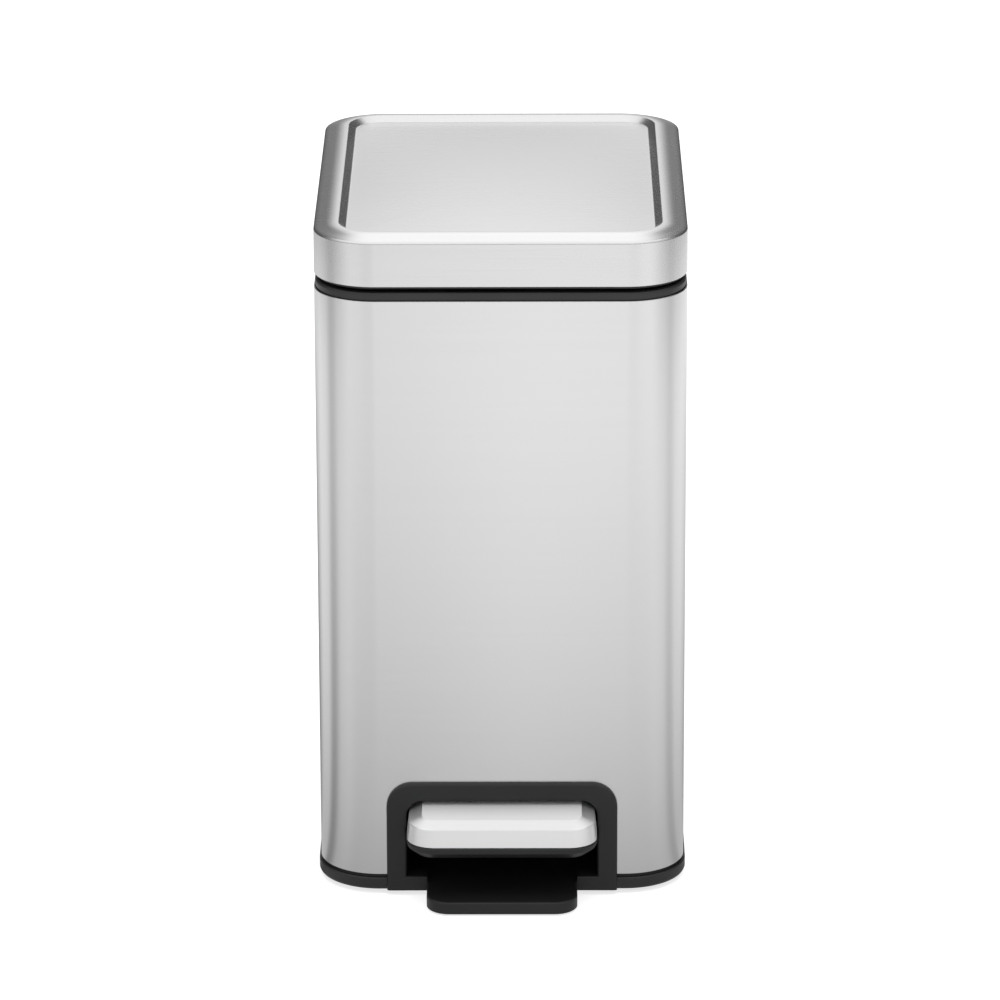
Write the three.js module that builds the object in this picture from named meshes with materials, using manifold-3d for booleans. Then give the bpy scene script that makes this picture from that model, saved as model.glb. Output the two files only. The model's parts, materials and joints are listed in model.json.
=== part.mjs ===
// A slim ten-litre pedal bin: a steel tube between a plastic base and a plastic top rim, a stamped lid
// on a rear hinge, an inner bucket, and a pedal lever that lifts the lid through a push rod.
// Units are millimetres and +Z is up. The pedal faces -Y. The origin is on the floor, under the middle
// of the whole outline.

import * as THREE from "three";
import { mergeVertices } from "three/addons/utils/BufferGeometryUtils.js";
import Module from "manifold-3d";

const wasm = await Module();
wasm.setup();

// ---------------------------------------------------------------- driving dimensions

const GAP = 0.3; // between pieces that touch
const RUN = 0.5; // around a pin or rod that turns or slides
const CORNER_STEPS = 6; // facets in each rounded corner

const BODY = { halfW: 100, halfD: 133, corner: 33 }; // the steel tube's outside
const SHEET = 0.8; // steel tube and lid
const FRONT = -BODY.halfD;
const REAR = BODY.halfD;

const GROUND = 2.8; // the feet hold the base this far off the floor
const FLOOR_LOW = 3.5; // base plate's underside
const FLOOR_TOP = 6; // base plate's upper face
const BASE_LEDGE = 9.6;
const SHELL_LOW = 11.3;
const SHELL_TOP = 338.8;
const RIM_TOP = 343.2;
const LINER_LOW = 344.8;
const SKIRT_LOW = 346.4;
const LID_EDGE = 370.7;
const LID_CREST = 373.5;
const LID_PANEL = 369.5;
const LID_BORDER = 13.5; // from the lid's side to the crest of its border
const LINER_PLATE = [357, 359.5];

const FRAME = { halfW: 63, top: 65.2, corner: 14, proud: 2.5 }; // escutcheon round the pedal
const MOUTH = { halfW: 52, top: 55, corner: 9 }; // its opening
const FRAME_BODY = { halfW: 56.4, top: 60.4 }; // the part behind the steel
const FRAME_DEEP = FRONT + 9;
const HOOD_DEEP = FRONT + 24;
const SILL_TOP = 11;
const TONGUE = { halfW: 41.4, reach: 33, low: 1, top: 8, corner: 10 };

const PEDAL = { halfW: 51.4, front: FRONT - 32.6, rear: FRONT + 22, corner: 15 };
const TRAY = { low: 31.6, top: 39.2 };
const CAP = { edge: 49.6, top: 52.7, bevel: 8.4 };

const PIVOT = { y: -62, z: 27.5, r: 3 }; // the lever's axle
const HINGE = { y: REAR + 8, z: 339, r: 2 }; // the lid's axle
const PEDAL_SWING = 10; // degrees, pedal up to pedal down
const LID_SWING = 76; // degrees, lid shut to lid open
const ROD_R = 1.8;
const ROD_LOW_Z = 13;

const BUCKET = { halfW: 93, halfD: 116.5, centreY: -9.5, corner: 29.5, low: 65, seat: 337 };

const DAMPER = { x: -24, y: 114, r: 8, low: 70, top: 134, stem: 2.5 };

// The push rod stands over the lever's rear hole and under the lift arm's slot. Half the lid's swing lies
// on each side of level, so the arm that gives that rise is the rise over twice the half swing's sine.
const half = THREE.MathUtils.degToRad(LID_SWING / 2);
const leverReach = 183;
const restDip = Math.asin((PIVOT.z - ROD_LOW_Z) / leverReach);
const rodRise =
  leverReach * (Math.sin(THREE.MathUtils.degToRad(PEDAL_SWING) - restDip) + Math.sin(restDip));
const ARM = rodRise / (2 * Math.sin(half));
const ROD_Y = PIVOT.y + leverReach * Math.cos(restDip);
const ROD_TOP_Z = HINGE.z - ARM * Math.sin(half);

const TONGUE_TIP = FRONT - TONGUE.reach;
const KNUCKLE_R = 6;
const REAR_END = HINGE.y + KNUCKLE_R;

// ---------------------------------------------------------------- finishes

const finish = (color, roughness, metalness) =>
  new THREE.MeshStandardMaterial({ color, roughness, metalness });

const brushedSteel = finish(0xc9cacb, 0.32, 1);
const zincSteel = finish(0xa9acb0, 0.4, 1);
const blackPlastic = finish(0x2c2c2d, 0.5, 0);
const rimPlastic = finish(0x3c3c3d, 0.45, 0);
const bucketPlastic = finish(0x3a3c3e, 0.55, 0);
const rubber = finish(0x1b1b1b, 0.85, 0);

// ---------------------------------------------------------------- solids

// A closed three.js geometry as a manifold solid.
function solidOf(geometry) {
  const loose = geometry.index ? geometry.toNonIndexed() : geometry;
  const bare = new THREE.BufferGeometry().setAttribute("position", loose.getAttribute("position"));
  const merged = mergeVertices(bare, 1e-4);
  return new wasm.Manifold(
    new wasm.Mesh({
      numProp: 3,
      vertProperties: merged.attributes.position.array,
      triVerts: new Uint32Array(merged.index.array),
    }),
  );
}

// A manifold solid as a three.js geometry.
function geometryOf(solid) {
  const mesh = solid.getMesh();
  const geometry = new THREE.BufferGeometry();
  geometry.setAttribute("position", new THREE.BufferAttribute(mesh.vertProperties, 3));
  geometry.setIndex(new THREE.BufferAttribute(mesh.triVerts, 1));
  geometry.computeVertexNormals();
  return geometry;
}

function joined(...solids) {
  return solids.reduce((whole, piece) => whole.add(piece));
}

function block(x0, x1, y0, y1, z0, z1) {
  const geometry = new THREE.BoxGeometry(x1 - x0, y1 - y0, z1 - z0);
  geometry.translate((x0 + x1) / 2, (y0 + y1) / 2, (z0 + z1) / 2);
  return solidOf(geometry);
}

// A round bar from one point to another.
function bar(from, to, radius, sides = 16) {
  const a = new THREE.Vector3(...from);
  const b = new THREE.Vector3(...to);
  const along = b.clone().sub(a);
  const geometry = new THREE.CylinderGeometry(radius, radius, along.length(), sides);
  const turn = new THREE.Quaternion().setFromUnitVectors(
    new THREE.Vector3(0, 1, 0),
    along.clone().normalize(),
  );
  geometry.applyQuaternion(turn);
  geometry.translate(...a.add(b).multiplyScalar(0.5).toArray());
  return solidOf(geometry);
}

const SIDEWAYS = new THREE.Matrix4().makeBasis(
  new THREE.Vector3(0, 1, 0),
  new THREE.Vector3(0, 0, 1),
  new THREE.Vector3(1, 0, 0),
);
const FORWARDS = new THREE.Matrix4().makeBasis(
  new THREE.Vector3(1, 0, 0),
  new THREE.Vector3(0, 0, 1),
  new THREE.Vector3(0, -1, 0),
);

function extruded(shape, depth) {
  return new THREE.ExtrudeGeometry(shape, {
    depth,
    bevelEnabled: false,
    curveSegments: CORNER_STEPS,
  });
}

// A shape drawn in Y and Z, as thick as from x0 to x1.
function sideSlab(shape, x0, x1) {
  return solidOf(extruded(shape, x1 - x0).applyMatrix4(SIDEWAYS).translate(x0, 0, 0));
}

// A shape drawn in X and Z, from y0 forwards to y1, where y1 is the smaller.
function frontSlab(shape, y0, y1) {
  return solidOf(extruded(shape, y0 - y1).applyMatrix4(FORWARDS).translate(0, y0, 0));
}

function polygon(points) {
  return new THREE.Shape(points.map(([u, v]) => new THREE.Vector2(u, v)));
}

// The corner points of a rounded rectangle, anticlockwise from the +X side.
function roundedOutline(halfW, halfD, corner, centreY) {
  const r = Math.max(corner, 0.4);
  const points = [];
  for (const [quarter, sx, sy] of [[0, 1, 1], [1, -1, 1], [2, -1, -1], [3, 1, -1]]) {
    for (let i = 0; i <= CORNER_STEPS; i++) {
      const angle = ((quarter + i / CORNER_STEPS) * Math.PI) / 2;
      points.push([
        sx * (halfW - r) + r * Math.cos(angle),
        centreY + sy * (halfD - r) + r * Math.sin(angle),
      ]);
    }
  }
  return points;
}

// Carries a profile of [inset, z] points round a rounded rectangle. A closed profile makes a ring; an
// open one makes a pan, and its first and last rings are filled flat.
function swept(profile, footprint, closed) {
  const { halfW, halfD, corner, centreY = 0 } = footprint;
  const rings = profile.map(([inset, z]) =>
    roundedOutline(halfW - inset, halfD - inset, corner - inset, centreY).map(([x, y]) => [x, y, z]),
  );
  const count = rings[0].length;
  const corners = [];
  const band = (lower, upper) => {
    for (let i = 0; i < count; i++) {
      const j = (i + 1) % count;
      corners.push(lower[i], lower[j], upper[j], lower[i], upper[j], upper[i]);
    }
  };
  rings.slice(1).forEach((ring, i) => band(rings[i], ring));
  if (closed) {
    band(rings[rings.length - 1], rings[0]);
  } else {
    for (let i = 1; i < count - 1; i++) {
      const [first, last] = [rings[0], rings[rings.length - 1]];
      corners.push(first[0], first[i + 1], first[i], last[0], last[i], last[i + 1]);
    }
  }
  const geometry = new THREE.BufferGeometry();
  geometry.setAttribute("position", new THREE.Float32BufferAttribute(corners.flat(), 3));
  return solidOf(geometry);
}

const ring = (profile, footprint) => swept(profile, footprint, true);
const pan = (profile, footprint) => swept(profile, footprint, false);

// A flat plate with the footprint's rounded corners, drawn in by inset.
function roundedPlate(footprint, inset, z0, z1) {
  return pan([[inset, z0], [inset, z1]], footprint);
}

// An upright rectangle with round top corners and a square foot.
function archShape(halfW, top, corner, foot) {
  const shape = new THREE.Shape();
  shape.moveTo(-halfW, foot);
  shape.lineTo(halfW, foot);
  shape.lineTo(halfW, top - corner);
  shape.absarc(halfW - corner, top - corner, corner, 0, Math.PI / 2, false);
  shape.lineTo(-halfW + corner, top);
  shape.absarc(-halfW + corner, top - corner, corner, Math.PI / 2, Math.PI, false);
  shape.lineTo(-halfW, foot);
  return shape;
}

// A slot with round ends between two points, in the plane that the caller extrudes from.
function slotShape([u0, v0], [u1, v1], radius) {
  const angle = Math.atan2(v1 - v0, u1 - u0);
  const shape = new THREE.Shape();
  shape.absarc(u1, v1, radius, angle - Math.PI / 2, angle + Math.PI / 2, false);
  shape.absarc(u0, v0, radius, angle + Math.PI / 2, angle + (3 * Math.PI) / 2, false);
  return shape;
}

// ---------------------------------------------------------------- pieces

const bin = new THREE.Group();
bin.position.y = -(TONGUE_TIP + REAR_END) / 2; // puts the origin under the middle of the outline

const solids = new Map();
const materials = new Map();

function piece(name, solid, material) {
  solids.set(name, solid);
  materials.set(name, material);
}

function cut(name, tool) {
  solids.set(name, solids.get(name).subtract(tool));
}

const UP = [0, 0, 1];
const FORWARD = [0, -1, 0];

// A pan-head screw with a cross recess. Its seat is the point under the head and it drives along a
// direction; the named pieces get its clearance hole.
const SCREW = { headR: 3.4, headH: 1.8, shankR: 1.5, recess: [2.2, 0.5, 0.9] };

function screw(name, seat, drive, length, through) {
  const profile = [
    [0, -length],
    [SCREW.shankR, -length + 1],
    [SCREW.shankR, 0],
    [SCREW.headR, 0],
    [SCREW.headR * 0.85, SCREW.headH * 0.7],
    [0, SCREW.headH],
  ];
  const lathe = new THREE.LatheGeometry(
    profile.map(([r, y]) => new THREE.Vector2(r, y)),
    12,
  );
  const [reach, wide, deep] = SCREW.recess;
  const turn = new THREE.Quaternion().setFromUnitVectors(
    new THREE.Vector3(0, 1, 0),
    new THREE.Vector3(...drive).negate(),
  );
  const place = new THREE.Matrix4().compose(
    new THREE.Vector3(...seat),
    turn,
    new THREE.Vector3(1, 1, 1),
  );
  const slot = (x, z) =>
    solidOf(new THREE.BoxGeometry(x, 2 * deep, z).translate(0, SCREW.headH, 0).applyMatrix4(place));
  const solid = solidOf(lathe.applyMatrix4(place))
    .subtract(slot(2 * reach, 2 * wide))
    .subtract(slot(2 * wide, 2 * reach));
  piece(name, solid, zincSteel);
  const end = new THREE.Vector3(...seat).addScaledVector(new THREE.Vector3(...drive), length + GAP);
  const start = new THREE.Vector3(...seat).addScaledVector(new THREE.Vector3(...drive), -GAP);
  const hole = bar(start.toArray(), end.toArray(), SCREW.shankR + GAP, 12);
  through.forEach((other) => cut(other, hole));
}

const SIDES = [["left", -1], ["right", 1]];

function outerShell() {
  const tube = ring([[0, SHELL_LOW], [0, SHELL_TOP], [SHEET, SHELL_TOP], [SHEET, SHELL_LOW]], BODY);
  const notch = archShape(FRAME_BODY.halfW + 0.6, FRAME_BODY.top + 0.7, 6, 0);
  piece("outer_shell", tube.subtract(frontSlab(notch, FRONT + 20, FRONT - 10)), brushedSteel);
}

function baseTray() {
  const wall = { outer: SHEET + 0.4, inner: SHEET + 3, top: 25.5 };
  const tray = pan(
    [
      [40, FLOOR_TOP],
      [wall.inner, FLOOR_TOP],
      [wall.inner, wall.top],
      [wall.outer, wall.top],
      [wall.outer, BASE_LEDGE],
      [-0.6, BASE_LEDGE],
      [-1, BASE_LEDGE - 0.6],
      [-1, GROUND + 1.4],
      [-0.2, GROUND],
      [11, GROUND],
      [12, FLOOR_LOW],
      [40, FLOOR_LOW],
    ].reverse(),
    BODY,
  );
  const edge = FRAME.halfW + 0.4;
  const mouth = block(-edge, edge, FRONT - 5, FRAME_DEEP + 0.4, 0, 40);
  piece("base_tray", tray.subtract(mouth), blackPlastic);
}

const FOOT = { x: 78, y: BODY.halfD - 22, r: 7, deep: 1.2 };

function feet() {
  for (const [end, sy] of [["front", -1], ["rear", 1]]) {
    for (const [side, sx] of SIDES) {
      const [x, y] = [sx * FOOT.x, sy * FOOT.y];
      cut("base_tray", bar([x, y, 0], [x, y, GROUND + FOOT.deep + GAP], FOOT.r + GAP, 24));
      const pad = bar([x, y, 0], [x, y, GROUND + FOOT.deep], FOOT.r, 24);
      piece(`foot_${end}_${side}`, pad, rubber);
    }
  }
  const pocket = (grow) =>
    block(-18 - grow, 18 + grow, FRONT - 26 - grow, FRONT - 18 + grow, 0, GROUND + FOOT.deep + grow);
  cut("pedal_frame", pocket(GAP));
  piece("foot_tongue", pocket(0), rubber);
}

function pedalFrame() {
  const opening = archShape(MOUTH.halfW, MOUTH.top, MOUTH.corner, GROUND - 5);
  const bezel = frontSlab(
    archShape(FRAME.halfW, FRAME.top, FRAME.corner, GROUND),
    FRONT - GAP,
    FRONT - GAP - FRAME.proud,
  );
  const body = frontSlab(
    archShape(FRAME_BODY.halfW, FRAME_BODY.top, 6, GROUND),
    FRAME_DEEP,
    FRONT - GAP - 0.1,
  );
  const hood = frontSlab(
    archShape(FRAME_BODY.halfW, FRAME_BODY.top, 6, FLOOR_TOP + 0.4),
    HOOD_DEEP,
    FRAME_DEEP - 0.1,
  ).subtract(
    frontSlab(archShape(FRAME_BODY.halfW - 2.4, FRAME_BODY.top - 2.4, 4, 0), 0, FRONT),
  );
  const face = FRONT - GAP;
  const sill = joined(
    block(-FRAME.halfW, FRAME.halfW, face - FRAME.proud, face, GROUND, SILL_TOP),
    block(-FRAME.halfW, FRAME.halfW, face - 0.1, FRAME_DEEP, GROUND, SHELL_LOW - GAP),
    block(-FRAME_BODY.halfW, FRAME_BODY.halfW, face - 0.1, FRAME_DEEP, GROUND, SILL_TOP),
  );
  const shelf = new THREE.Shape();
  const { halfW, corner, low, top } = TONGUE;
  shelf.moveTo(-halfW, FRAME_DEEP);
  shelf.lineTo(-halfW, TONGUE_TIP + corner);
  shelf.absarc(-halfW + corner, TONGUE_TIP + corner, corner, Math.PI, Math.PI * 1.5, false);
  shelf.lineTo(halfW - corner, TONGUE_TIP);
  shelf.absarc(halfW - corner, TONGUE_TIP + corner, corner, Math.PI * 1.5, Math.PI * 2, false);
  shelf.lineTo(halfW, FRAME_DEEP);
  const tongue = solidOf(extruded(shelf, top - low).translate(0, 0, low));
  const walkway = block(-halfW, halfW, FRONT - 10, FRAME_DEEP + 1, top, SILL_TOP + 1);
  const frame = joined(bezel, body)
    .subtract(frontSlab(opening, 0, FRONT - 10))
    .add(sill)
    .add(hood)
    .subtract(walkway)
    .add(tongue);
  piece("pedal_frame", frame, blackPlastic);
}

const RING_WALL = { outer: SHEET + 0.4, inner: 3.4, low: SHELL_TOP - 29 };
const SEAT = { from: 6.5, to: 11 };

function topRim() {
  const rim = ring(
    [
      [0.4, SHELL_TOP + GAP],
      [0.4, RIM_TOP - 0.8],
      [1.2, RIM_TOP],
      [SEAT.from - 0.6, RIM_TOP],
      [SEAT.from, RIM_TOP - 0.6],
      [SEAT.from, BUCKET.seat],
      [SEAT.to, BUCKET.seat],
      [SEAT.to, BUCKET.seat - 2.5],
      [RING_WALL.inner, BUCKET.seat - 2.5],
      [RING_WALL.inner, RING_WALL.low],
      [RING_WALL.outer, RING_WALL.low],
      [RING_WALL.outer, SHELL_TOP + GAP],
    ],
    BODY,
  );
  const shelf = block(-100, 100, REAR - 29, REAR - 6, BUCKET.seat - 2.5, BUCKET.seat).intersect(
    roundedPlate(BODY, SEAT.from - 1, BUCKET.seat - 5, BUCKET.seat + 5),
  );
  const armWay = block(-16, 16, REAR - 25, REAR - 1.8, RING_WALL.low - 5, RIM_TOP + 5);
  piece("top_rim", joined(rim, shelf).subtract(armWay), rimPlastic);
}

function innerBucket() {
  const wall = { in: 7.3, out: 5.5, inLow: 11.8, outLow: 10 };
  const lip = BUCKET.seat + GAP;
  const shell = pan(
    [
      [40, BUCKET.low + 2],
      [wall.inLow, BUCKET.low + 2],
      [wall.in, lip + 2.3],
      [0, lip + 2.3],
      [0, lip],
      [wall.out, lip],
      [wall.outLow, BUCKET.low],
      [40, BUCKET.low],
    ].reverse(),
    BUCKET,
  );
  const gripZ = BUCKET.seat - 16.5;
  const grip = slotShape([BUCKET.centreY - 31, gripZ], [BUCKET.centreY + 31, gripZ], 7);
  piece("inner_bucket", shell.subtract(sideSlab(grip, -110, 110)), bucketPlastic);
}

// The notch in the lid's rear wall that the hinge leaf passes through.
function leafWay(halfW, top) {
  return block(-halfW, halfW, REAR - 8, REAR + 8, SKIRT_LOW - 5, top);
}

function lidCap() {
  const cap = pan(
    [
      [40, LID_PANEL],
      [LID_BORDER + 3.8, LID_PANEL],
      [LID_BORDER + 0.5, LID_CREST - 0.2],
      [LID_BORDER - 0.6, LID_CREST],
      [1, LID_EDGE],
      [0.2, LID_EDGE - 0.4],
      [0, LID_EDGE - 1.2],
      [0, SKIRT_LOW],
      [SHEET, SKIRT_LOW],
      [SHEET, LID_EDGE - 1],
      [LID_BORDER - 0.4, LID_CREST - SHEET],
      [LID_BORDER + 3.4, LID_PANEL - SHEET],
      [40, LID_PANEL - SHEET],
    ].reverse(),
    BODY,
  );
  piece("lid_cap", cap.subtract(leafWay(24, LINER_PLATE[0] + 1)), brushedSteel);
}

function lidLiner() {
  const [low, top] = LINER_PLATE;
  const liner = pan(
    [
      [40, top],
      [1.4, top],
      [1.4, LINER_LOW + 0.6],
      [2, LINER_LOW],
      [5.8, LINER_LOW],
      [6.4, LINER_LOW + 0.6],
      [6.4, low],
      [40, low],
    ].reverse(),
    BODY,
  );
  piece("lid_liner", liner.subtract(leafWay(24.5, low)), blackPlastic);
}

function lidBumpers() {
  for (const [end, sy] of [["front", -1], ["rear", 1]]) {
    for (const [side, sx] of SIDES) {
      const [x, y] = [sx * (BODY.halfW - 3.9), sy * 80];
      const pad = bar([x, y, RIM_TOP + GAP], [x, y, LINER_LOW - GAP], 2, 16);
      piece(`lid_bumper_${end}_${side}`, pad, rubber);
    }
  }
}

const LUG = { in: 23.2, out: 28.2 };
const KNUCKLE_HALF = 22.7;

function hingeBracket() {
  const back = REAR + GAP;
  const plate = block(-42, 42, back, back + 2, HINGE.z - 25.5, HINGE.z - 3.5);
  const ear = polygon([
    [back, HINGE.z - 17.5],
    [back, HINGE.z - 1.5],
    [HINGE.y - 5, HINGE.z + 3],
    [HINGE.y + 5, HINGE.z - 3.5],
    [back + 2, HINGE.z - 19.5],
  ]);
  const lugs = SIDES.map(([, s]) => {
    const [x0, x1] = [s * LUG.in, s * LUG.out].sort((a, b) => a - b);
    return sideSlab(ear, x0, x1).add(bar([x0, HINGE.y, HINGE.z], [x1, HINGE.y, HINGE.z], KNUCKLE_R));
  });
  const bore = bar([-50, HINGE.y, HINGE.z], [50, HINGE.y, HINGE.z], HINGE.r + GAP, 16);
  piece("hinge_bracket", joined(plate, ...lugs).subtract(bore), blackPlastic);
}

function hingePin() {
  const pin = joined(
    bar([-30, HINGE.y, HINGE.z], [30, HINGE.y, HINGE.z], HINGE.r, 16),
    bar([-31, HINGE.y, HINGE.z], [-28.6, HINGE.y, HINGE.z], 3.4),
  );
  piece("hinge_pin", pin, zincSteel);
  const washer = bar([28.6, HINGE.y, HINGE.z], [29.6, HINGE.y, HINGE.z], 3.6).subtract(
    bar([28, HINGE.y, HINGE.z], [31, HINGE.y, HINGE.z], HINGE.r + GAP, 16),
  );
  piece("hinge_pin_clip", washer, zincSteel);
}

const LEAF = { front: REAR - 40, low: LINER_PLATE[0] - GAP - 2.9, top: LINER_PLATE[0] - GAP, halfW: 21 };

function hingeLeaf() {
  const strap = polygon([
    [HINGE.y - 5.4, HINGE.z + 2.5],
    [HINGE.y - 1, HINGE.z + 4],
    [HINGE.y + 4.5, HINGE.z + 3.5],
    [HINGE.y - 1, LEAF.top - 4],
    [REAR - 2, LEAF.top],
    [LEAF.front, LEAF.top],
    [LEAF.front, LEAF.low],
    [REAR - 5, LEAF.low],
    [REAR + 1.2, LEAF.low - 5.8],
  ]);
  const knuckle = bar([-KNUCKLE_HALF, HINGE.y, HINGE.z], [KNUCKLE_HALF, HINGE.y, HINGE.z], KNUCKLE_R);
  const bore = bar([-50, HINGE.y, HINGE.z], [50, HINGE.y, HINGE.z], HINGE.r + GAP, 16);
  const leaf = joined(sideSlab(strap, -LEAF.halfW, LEAF.halfW), knuckle).subtract(bore);
  piece("hinge_leaf", leaf, blackPlastic);
}

// The arm turns with the lid. The rod's hook slides in its slot, because the hook goes straight up while
// the slot swings.
function liftArm() {
  const foot = { low: LEAF.low - GAP - 2, top: LEAF.low - GAP };
  const at = (reach) => [HINGE.y - reach * Math.cos(half), HINGE.z - reach * Math.sin(half)];
  const slotR = ROD_R + 1.2;
  const near = ARM * Math.cos(half) - 0.6;
  const far = ARM + 0.5;
  const web = polygon([
    [HINGE.y - 24, foot.top],
    [HINGE.y - 34.5, foot.top],
    [HINGE.y - 34.1, foot.low],
    [HINGE.y - 29.4, HINGE.z - 9.5],
    at(far),
    at(near),
    [HINGE.y - 14, HINGE.z - 4.5],
  ]);
  const eye = sideSlab(slotShape(at(near), at(far), slotR + 2.4), -1.25, 1.25);
  const arm = joined(
    sideSlab(web, -1.25, 1.25),
    eye,
    block(-9, 9, HINGE.y - 45, HINGE.y - 25, foot.low, foot.top),
  ).subtract(sideSlab(slotShape(at(near), at(far), slotR), -5, 5));
  piece("lift_arm", arm, zincSteel);
}

const STRIP = 2; // the lever's sheet
const SEAT_Z = 36.4; // top of the lever's pad under the pedal

function pedalLever() {
  const rearY = ROD_Y - 11;
  const slope = (ROD_LOW_Z - PIVOT.z) / leverReach;
  const below = (y) => PIVOT.z - 6 + slope * (y - PIVOT.y) * 0.55;
  const line = [
    [PEDAL.front + 9, SEAT_Z],
    [FRONT + 16, SEAT_Z],
    [FRONT + 44, below(FRONT + 44)],
    [rearY, below(rearY)],
  ];
  const stripShape = polygon([...line, ...line.map(([y, z]) => [y, z - STRIP]).reverse()]);
  const front = sideSlab(stripShape, -24, 24).intersect(block(-30, 30, -200, 30, 0, 60));
  const rear = sideSlab(stripShape, -13, 13).intersect(block(-30, 30, 20, 200, 0, 60));
  const pusher = DAMPER.x - 10;
  const barTop = below(rearY);
  const crossbar = block(pusher, -12, rearY - 18, rearY + 12, barTop - STRIP, barTop);
  const cheek = polygon([
    [FRONT + 28, SEAT_Z - 2],
    [FRONT + 50, SEAT_Z - 3],
    [PIVOT.y - 8, 35.5],
    [PIVOT.y + 8, 35.5],
    [PIVOT.y + 32, 26],
    [24, below(24) + 2],
    [24, below(24) - 1],
    [FRONT + 44, below(FRONT + 44) - 1],
  ]);
  const cheeks = SIDES.map(([, s]) => {
    const [x0, x1] = [s * 22, s * 24].sort((a, b) => a - b);
    return sideSlab(cheek, x0, x1);
  });
  const tab = sideSlab(slotShape([rearY - 8, ROD_LOW_Z + 1], [ROD_Y, ROD_LOW_Z], 4.6), -1.25, 1.25);
  const axleHole = bar([-40, PIVOT.y, PIVOT.z], [40, PIVOT.y, PIVOT.z], PIVOT.r + GAP);
  const hookHole = bar([-5, ROD_Y, ROD_LOW_Z], [5, ROD_Y, ROD_LOW_Z], ROD_R + RUN, 16);
  const lever = joined(front, rear, crossbar, tab, ...cheeks)
    .subtract(axleHole)
    .subtract(hookHole);
  piece("pedal_lever", lever, zincSteel);
}

const PEDAL_PLAN = {
  halfW: PEDAL.halfW,
  halfD: (PEDAL.rear - PEDAL.front) / 2,
  corner: PEDAL.corner,
  centreY: (PEDAL.rear + PEDAL.front) / 2,
};

function pedalTray() {
  const tray = pan(
    [
      [18, TRAY.low],
      [6, TRAY.low],
      [1, TRAY.low + 4],
      [0, TRAY.top - 0.8],
      [0.6, TRAY.top],
      [3, TRAY.top],
      [3.6, CAP.edge - 2.4],
      [18, CAP.edge - 2.4],
    ],
    PEDAL_PLAN,
  );
  const pocket = block(-25, 25, PEDAL.front + 8, PEDAL.rear + 5, TRAY.low - 5, SEAT_Z + GAP);
  piece("pedal_tray", tray.subtract(pocket), blackPlastic);
}

function pedalCap() {
  const skirt = TRAY.top + GAP;
  const cap = pan(
    [
      [18, CAP.top],
      [CAP.bevel + 2, CAP.top],
      [2.4, CAP.edge + 0.4],
      [1.6, CAP.edge - 0.4],
      [0.3, skirt],
      [1.4, skirt],
      [2.7, CAP.edge - 1.2],
      [CAP.bevel + 2.2, CAP.top - 1.1],
      [18, CAP.top - 1.1],
    ].reverse(),
    PEDAL_PLAN,
  );
  piece("pedal_cap", cap, brushedSteel);
}

function pivotParts() {
  for (const [side, s] of SIDES) {
    const [x0, x1] = [s * 25, s * 36].sort((a, b) => a - b);
    const post = polygon([
      [PIVOT.y - 19, FLOOR_TOP + GAP],
      [PIVOT.y + 19, FLOOR_TOP + GAP],
      [PIVOT.y + 19, 10],
      [PIVOT.y + 9, 10],
      [PIVOT.y + 7, 35],
      [PIVOT.y - 7, 35],
      [PIVOT.y - 9, 10],
      [PIVOT.y - 19, 10],
    ]);
    const bore = bar([-50, PIVOT.y, PIVOT.z], [50, PIVOT.y, PIVOT.z], PIVOT.r + GAP);
    piece(`pivot_block_${side}`, sideSlab(post, x0, x1).subtract(bore), blackPlastic);
    const clip = bar([s * 36.4, PIVOT.y, PIVOT.z], [s * 37.4, PIVOT.y, PIVOT.z], 5.6).subtract(bore);
    piece(`axle_clip_${side}`, clip, zincSteel);
  }
  piece("lever_axle", bar([-39, PIVOT.y, PIVOT.z], [39, PIVOT.y, PIVOT.z], PIVOT.r), zincSteel);
}

const ROD_X = 8;

function pushRod() {
  const bend = 3;
  const hookEnd = -5;
  const lowPath = [
    [hookEnd, ROD_LOW_Z],
    [ROD_X - bend, ROD_LOW_Z],
    [ROD_X, ROD_LOW_Z + bend],
  ];
  const topPath = [
    [ROD_X, ROD_TOP_Z - bend],
    [ROD_X - bend, ROD_TOP_Z],
    [hookEnd, ROD_TOP_Z],
  ];
  const points = [...lowPath, ...topPath].map(([x, z]) => [x, ROD_Y, z]);
  const lengths = points.slice(1).map((point, i) => bar(points[i], point, ROD_R, 12));
  const elbows = points
    .slice(1, -1)
    .map((point) => solidOf(new THREE.SphereGeometry(ROD_R, 12, 6).translate(...point)));
  piece("push_rod", joined(...lengths, ...elbows), zincSteel);
  for (const [end, z] of [["low", ROD_LOW_Z], ["top", ROD_TOP_Z]]) {
    const clip = bar([-3.2, ROD_Y, z], [-2.2, ROD_Y, z], 4).subtract(
      bar([-9, ROD_Y, z], [9, ROD_Y, z], ROD_R + GAP, 16),
    );
    piece(`rod_clip_${end}`, clip, zincSteel);
  }
}

const INSIDE_REAR = REAR - SHEET - GAP;
const GUIDE_Z = 212;
const CLAMP_Z = 98;

function rodGuide() {
  const guide = block(ROD_X - 7, ROD_X + 7, ROD_Y - 6, INSIDE_REAR, GUIDE_Z - 6, GUIDE_Z + 6);
  const bore = bar([ROD_X, ROD_Y + 0.1, GUIDE_Z - 9], [ROD_X, ROD_Y + 0.1, GUIDE_Z + 9], ROD_R + 0.9);
  piece("rod_guide", guide.subtract(bore), blackPlastic);
}

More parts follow.
